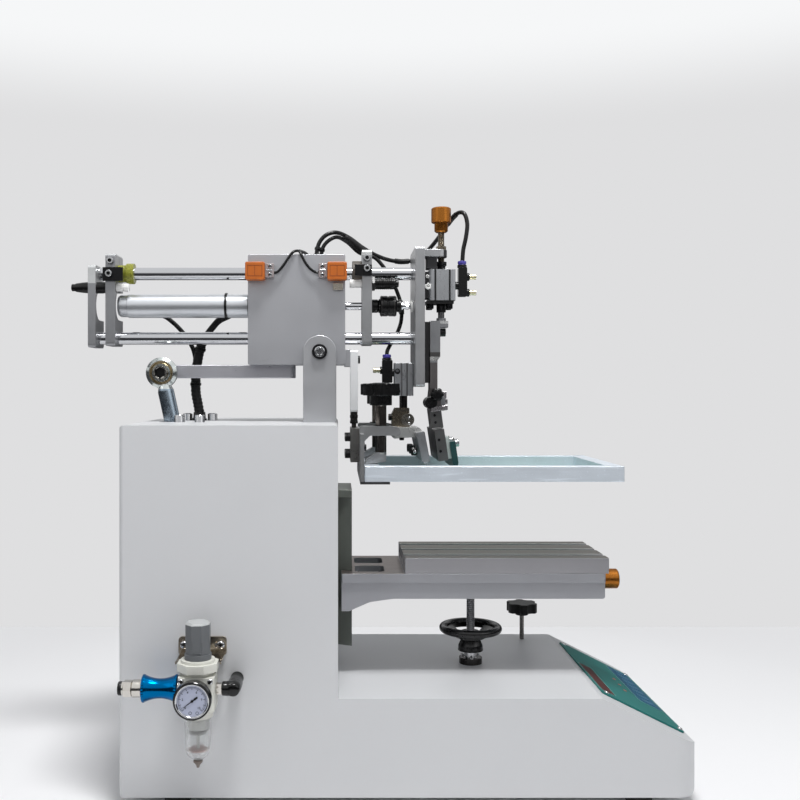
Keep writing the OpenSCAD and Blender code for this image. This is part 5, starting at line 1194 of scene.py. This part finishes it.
knurled(Shape(), (SCREW_X, 0, 672.3), "z") \
    .done("pressure_grip", "pressure_knob", gold, "gold_anodised", replaces=("pressure_knob",))
pressure_thread = finish("pressure_thread", (120, 112, 98), 0.3, 0.9, vary=0.08, thread=("z", 1.25, 0.7))
Shape().lathe((SCREW_X, 0, 624.3), "z", [(0, 3), (0.8, 4), (48.6, 4)], 28) \
    .nut((SCREW_X, 0, 649.7), "z", 12, 5, 4.05) \
    .done("pressure_screw", "pressure_knob", pressure_thread, "steel")
knurled(Shape(), (242.3, 0, FEED_Z), "x") \
    .done("feed_grip", "feed_knob", gold, "gold_anodised", replaces=("feed_knob",))
feed_thread = finish("feed_thread", (160, 158, 154), 0.3, 1.0, vary=0.05, thread=("x", 2.0, 0.7))
Shape().lathe((62.7, 0, FEED_Z), "x", [(0, 3), (1, 4), (180, 4)], 24) \
    .done("feed_screw", "feed_knob", feed_thread, "steel")

for side, y in (("near", -55), ("far", 55)):
    dress("star_knob_" + side, finish("star_knob_" + side, (9, 9, 10), 0.3, vary=0.1, relief=0.1, patches=[
            ((-80, -120, 380), (40, 120, 453.9), (118, 112, 106), 0.18, 1.0)], Specular_IOR_Level=0.3), 1.4)
    Shape().lathe((STAR_X, y, 480.3), "z", [(0, 11), (0.7, 10.4), (1.2, 9), (1.2, 4.5), (0.6, 4)], 40) \
        .done("star_cap_" + side, "star_knob_" + side, black_plastic, "black_plastic")

# Knee, table and handwheel

dress("knee", knee_metal, 0.7)
dress("table", table_metal, 0.5)
dress("lift_screw", thread_steel, 0.4)
dress("handwheel", finish("handwheel_gloss", (12, 12, 13), 0.24, vary=0.08, grain=500, relief=0.03), 0.6)
hub = Shape()
hub.lathe((WHEEL_X, 0, 142.4), "z", [(0, 14.4), (0.3, 15.9), (1.6, 15.9), (1.9, 15.2)], 56)
hub.done("hub_ring", "handwheel", black_steel, "black_steel")
base = Shape()
for k in range(3):
    a = math.radians(30 + 120 * k)
    base.cap_screw((WHEEL_X + 11.4 * math.cos(a), 11.4 * math.sin(a), 133.8), "z", 2.4, 2.2, 2)
base.done("bearing_screws", "root", screw_steel, "steel")

# Hoses

TRUNK = [(-262, 36, 433.1), (-262, 36, 442), (-264.5, 37, 456), (-267, 38, 470), (-267, 39, 492), (-264, 40, 516),
    (-259, 41, 536)]
FRONT_BRANCH = [(-264, 39.4, 520), (-262, 40, 534), (-256, 40.6, 546), (-248, 40.6, 556.5), (-240, 40.4, 565),
    (-228, 40, 571), (-216, 39, 572.5), (-208.6, 38.3, 571.5), (-206, 38, 569)]
REAR_BRANCH = [(-267, 40, 510), (-271, 40.6, 526), (-278, 41, 539), (-286, 41, 549.5), (-297, 41, 560.5),
    (-309, 40.6, 569), (-325, 39.6, 573), (-340, 38.4, 572), (-346, 38, 569)]
tilt = ("root", "head", Vector((-262, 38, 446)) * MM, Vector((-262, 38, 544)) * MM)
Shape().tube(TRUNK, 6.2, 28, 12, 0.35, 5.0) \
    .done("trunk_sleeve", None, wrap_black, "hose", replaces=("column_harness",), bend=tilt)
Shape().tube([(x + 2.4, y, z) for x, y, z in FRONT_BRANCH], 2.9, 18, 7) \
    .tube([(x + 3.8, y + 0.6, z - 3) for x, y, z in FRONT_BRANCH[:6]] + FRONT_BRANCH[6:], 2.7, 18, 7) \
    .tube(REAR_BRANCH, 2.9, 18, 7) \
    .done("branch_hoses", None, hose_black, "hose", bend=tilt)
ring = Shape()
ring.lathe((-262, 36, 433), "z", [(0, 9), (0.6, 9.4), (2, 9.4), (3, 8.2), (10, 7.6), (11, 7)], 36)
ring.done("trunk_collar", "root", black_plastic, "black_plastic")
bands = Shape()
for p, d in (((-267.3, 38.5, 480), (0, 0, 1)), ((-266, 39.4, 503), (0.1, 0, 1)), ((-261.5, 40.5, 526), (0.25, 0, 1))):
    bands.lathe(p, d, [(-2, 6.4), (-1.7, 7.2), (1.7, 7.2), (2, 6.4)], 28)
bands.done("trunk_bands", None, black_plastic, "black_plastic", bend=tilt)

SQUEEGEE_LINE = [(-108, 16, 641), (-108, 16, 652), (-104, 17, 664), (-95, 19, 673), (-82, 23, 676), (-66, 29, 670),
    (-50, 34, 659), (-34, 38, 650), (-16, 42, 643.6), (2, 45.5, 641.4), (18, 47.5, 643.4), (32, 46, 651),
    (44, 41, 663.5), (55, 33, 678), (64, 22.5, 691), (72.5, 13.5, 699.4), (80, 6, 697.6), (83.4, 1.6, 684),
    (81.6, 0, 667), (78.2, 0, 651), (77, 0, 636)]
FLOOD_LINE = [(-34, 37, 646), (-23, 35, 635), (-12, 33, 618), (-4, 31, 600), (1, 28, 582), (1, 24, 564),
    (-3, 18.4, 550), (-9, 11.6, 538.6), (-15, 4.6, 529), (-18.4, 0.8, 522), (-19, 0, 516.5)]
SECOND = [(-102, 19, 641), (-102, 19, 650), (-99, 20, 659), (-91, 22, 667), (-81, 25.5, 670.4), (-68, 30.5, 664),
    (-53, 35.5, 651.6)]
stroke = ("head", "carriage", Vector((-103, 20, 660)) * MM, Vector((-42, 20, 660)) * MM)
lines = Shape()
lines.tube(SQUEEGEE_LINE, 2.7, 18, 7)
lines.tube(SECOND + FLOOD_LINE, 2.5, 18, 7)
lines.done("air_hoses", None, hose_black, "hose", replaces=("top_harness",), bend=stroke)
wraps = Shape()
wraps.tube([(-74, 27.2, 671), (-66, 30, 667.4), (-50, 34.6, 655.6), (-40, 37, 649)], 4.9, 24, 8, 0.25, 4.0)
wraps.tube([(-6, 44, 642), (2, 45.6, 641.3), (12, 47, 642)], 3.5, 20, 6, 0.15, 3.0)
wraps.tube([(61, 26, 687), (66.2, 20, 693.6), (71, 15, 698.2)], 3.4, 20, 6, 0.15, 3.0)
wraps.tube([(-0.4, 29, 588), (1.2, 27.8, 580), (1.6, 26.2, 571)], 3.4, 20, 6, 0.15, 3.0)
wraps.done("hose_wraps", None, wrap_black, "hose", bend=stroke)
tie_band = Shape()
tie_band.lathe((-104.6, 18, 653.6), (0.25, 0.1, 1), [(-1.6, 6.2), (-1.3, 6.8), (1.3, 6.8), (1.6, 6.2)], 28)
tie_band.done("hose_band", "head", black_plastic, "black_plastic")
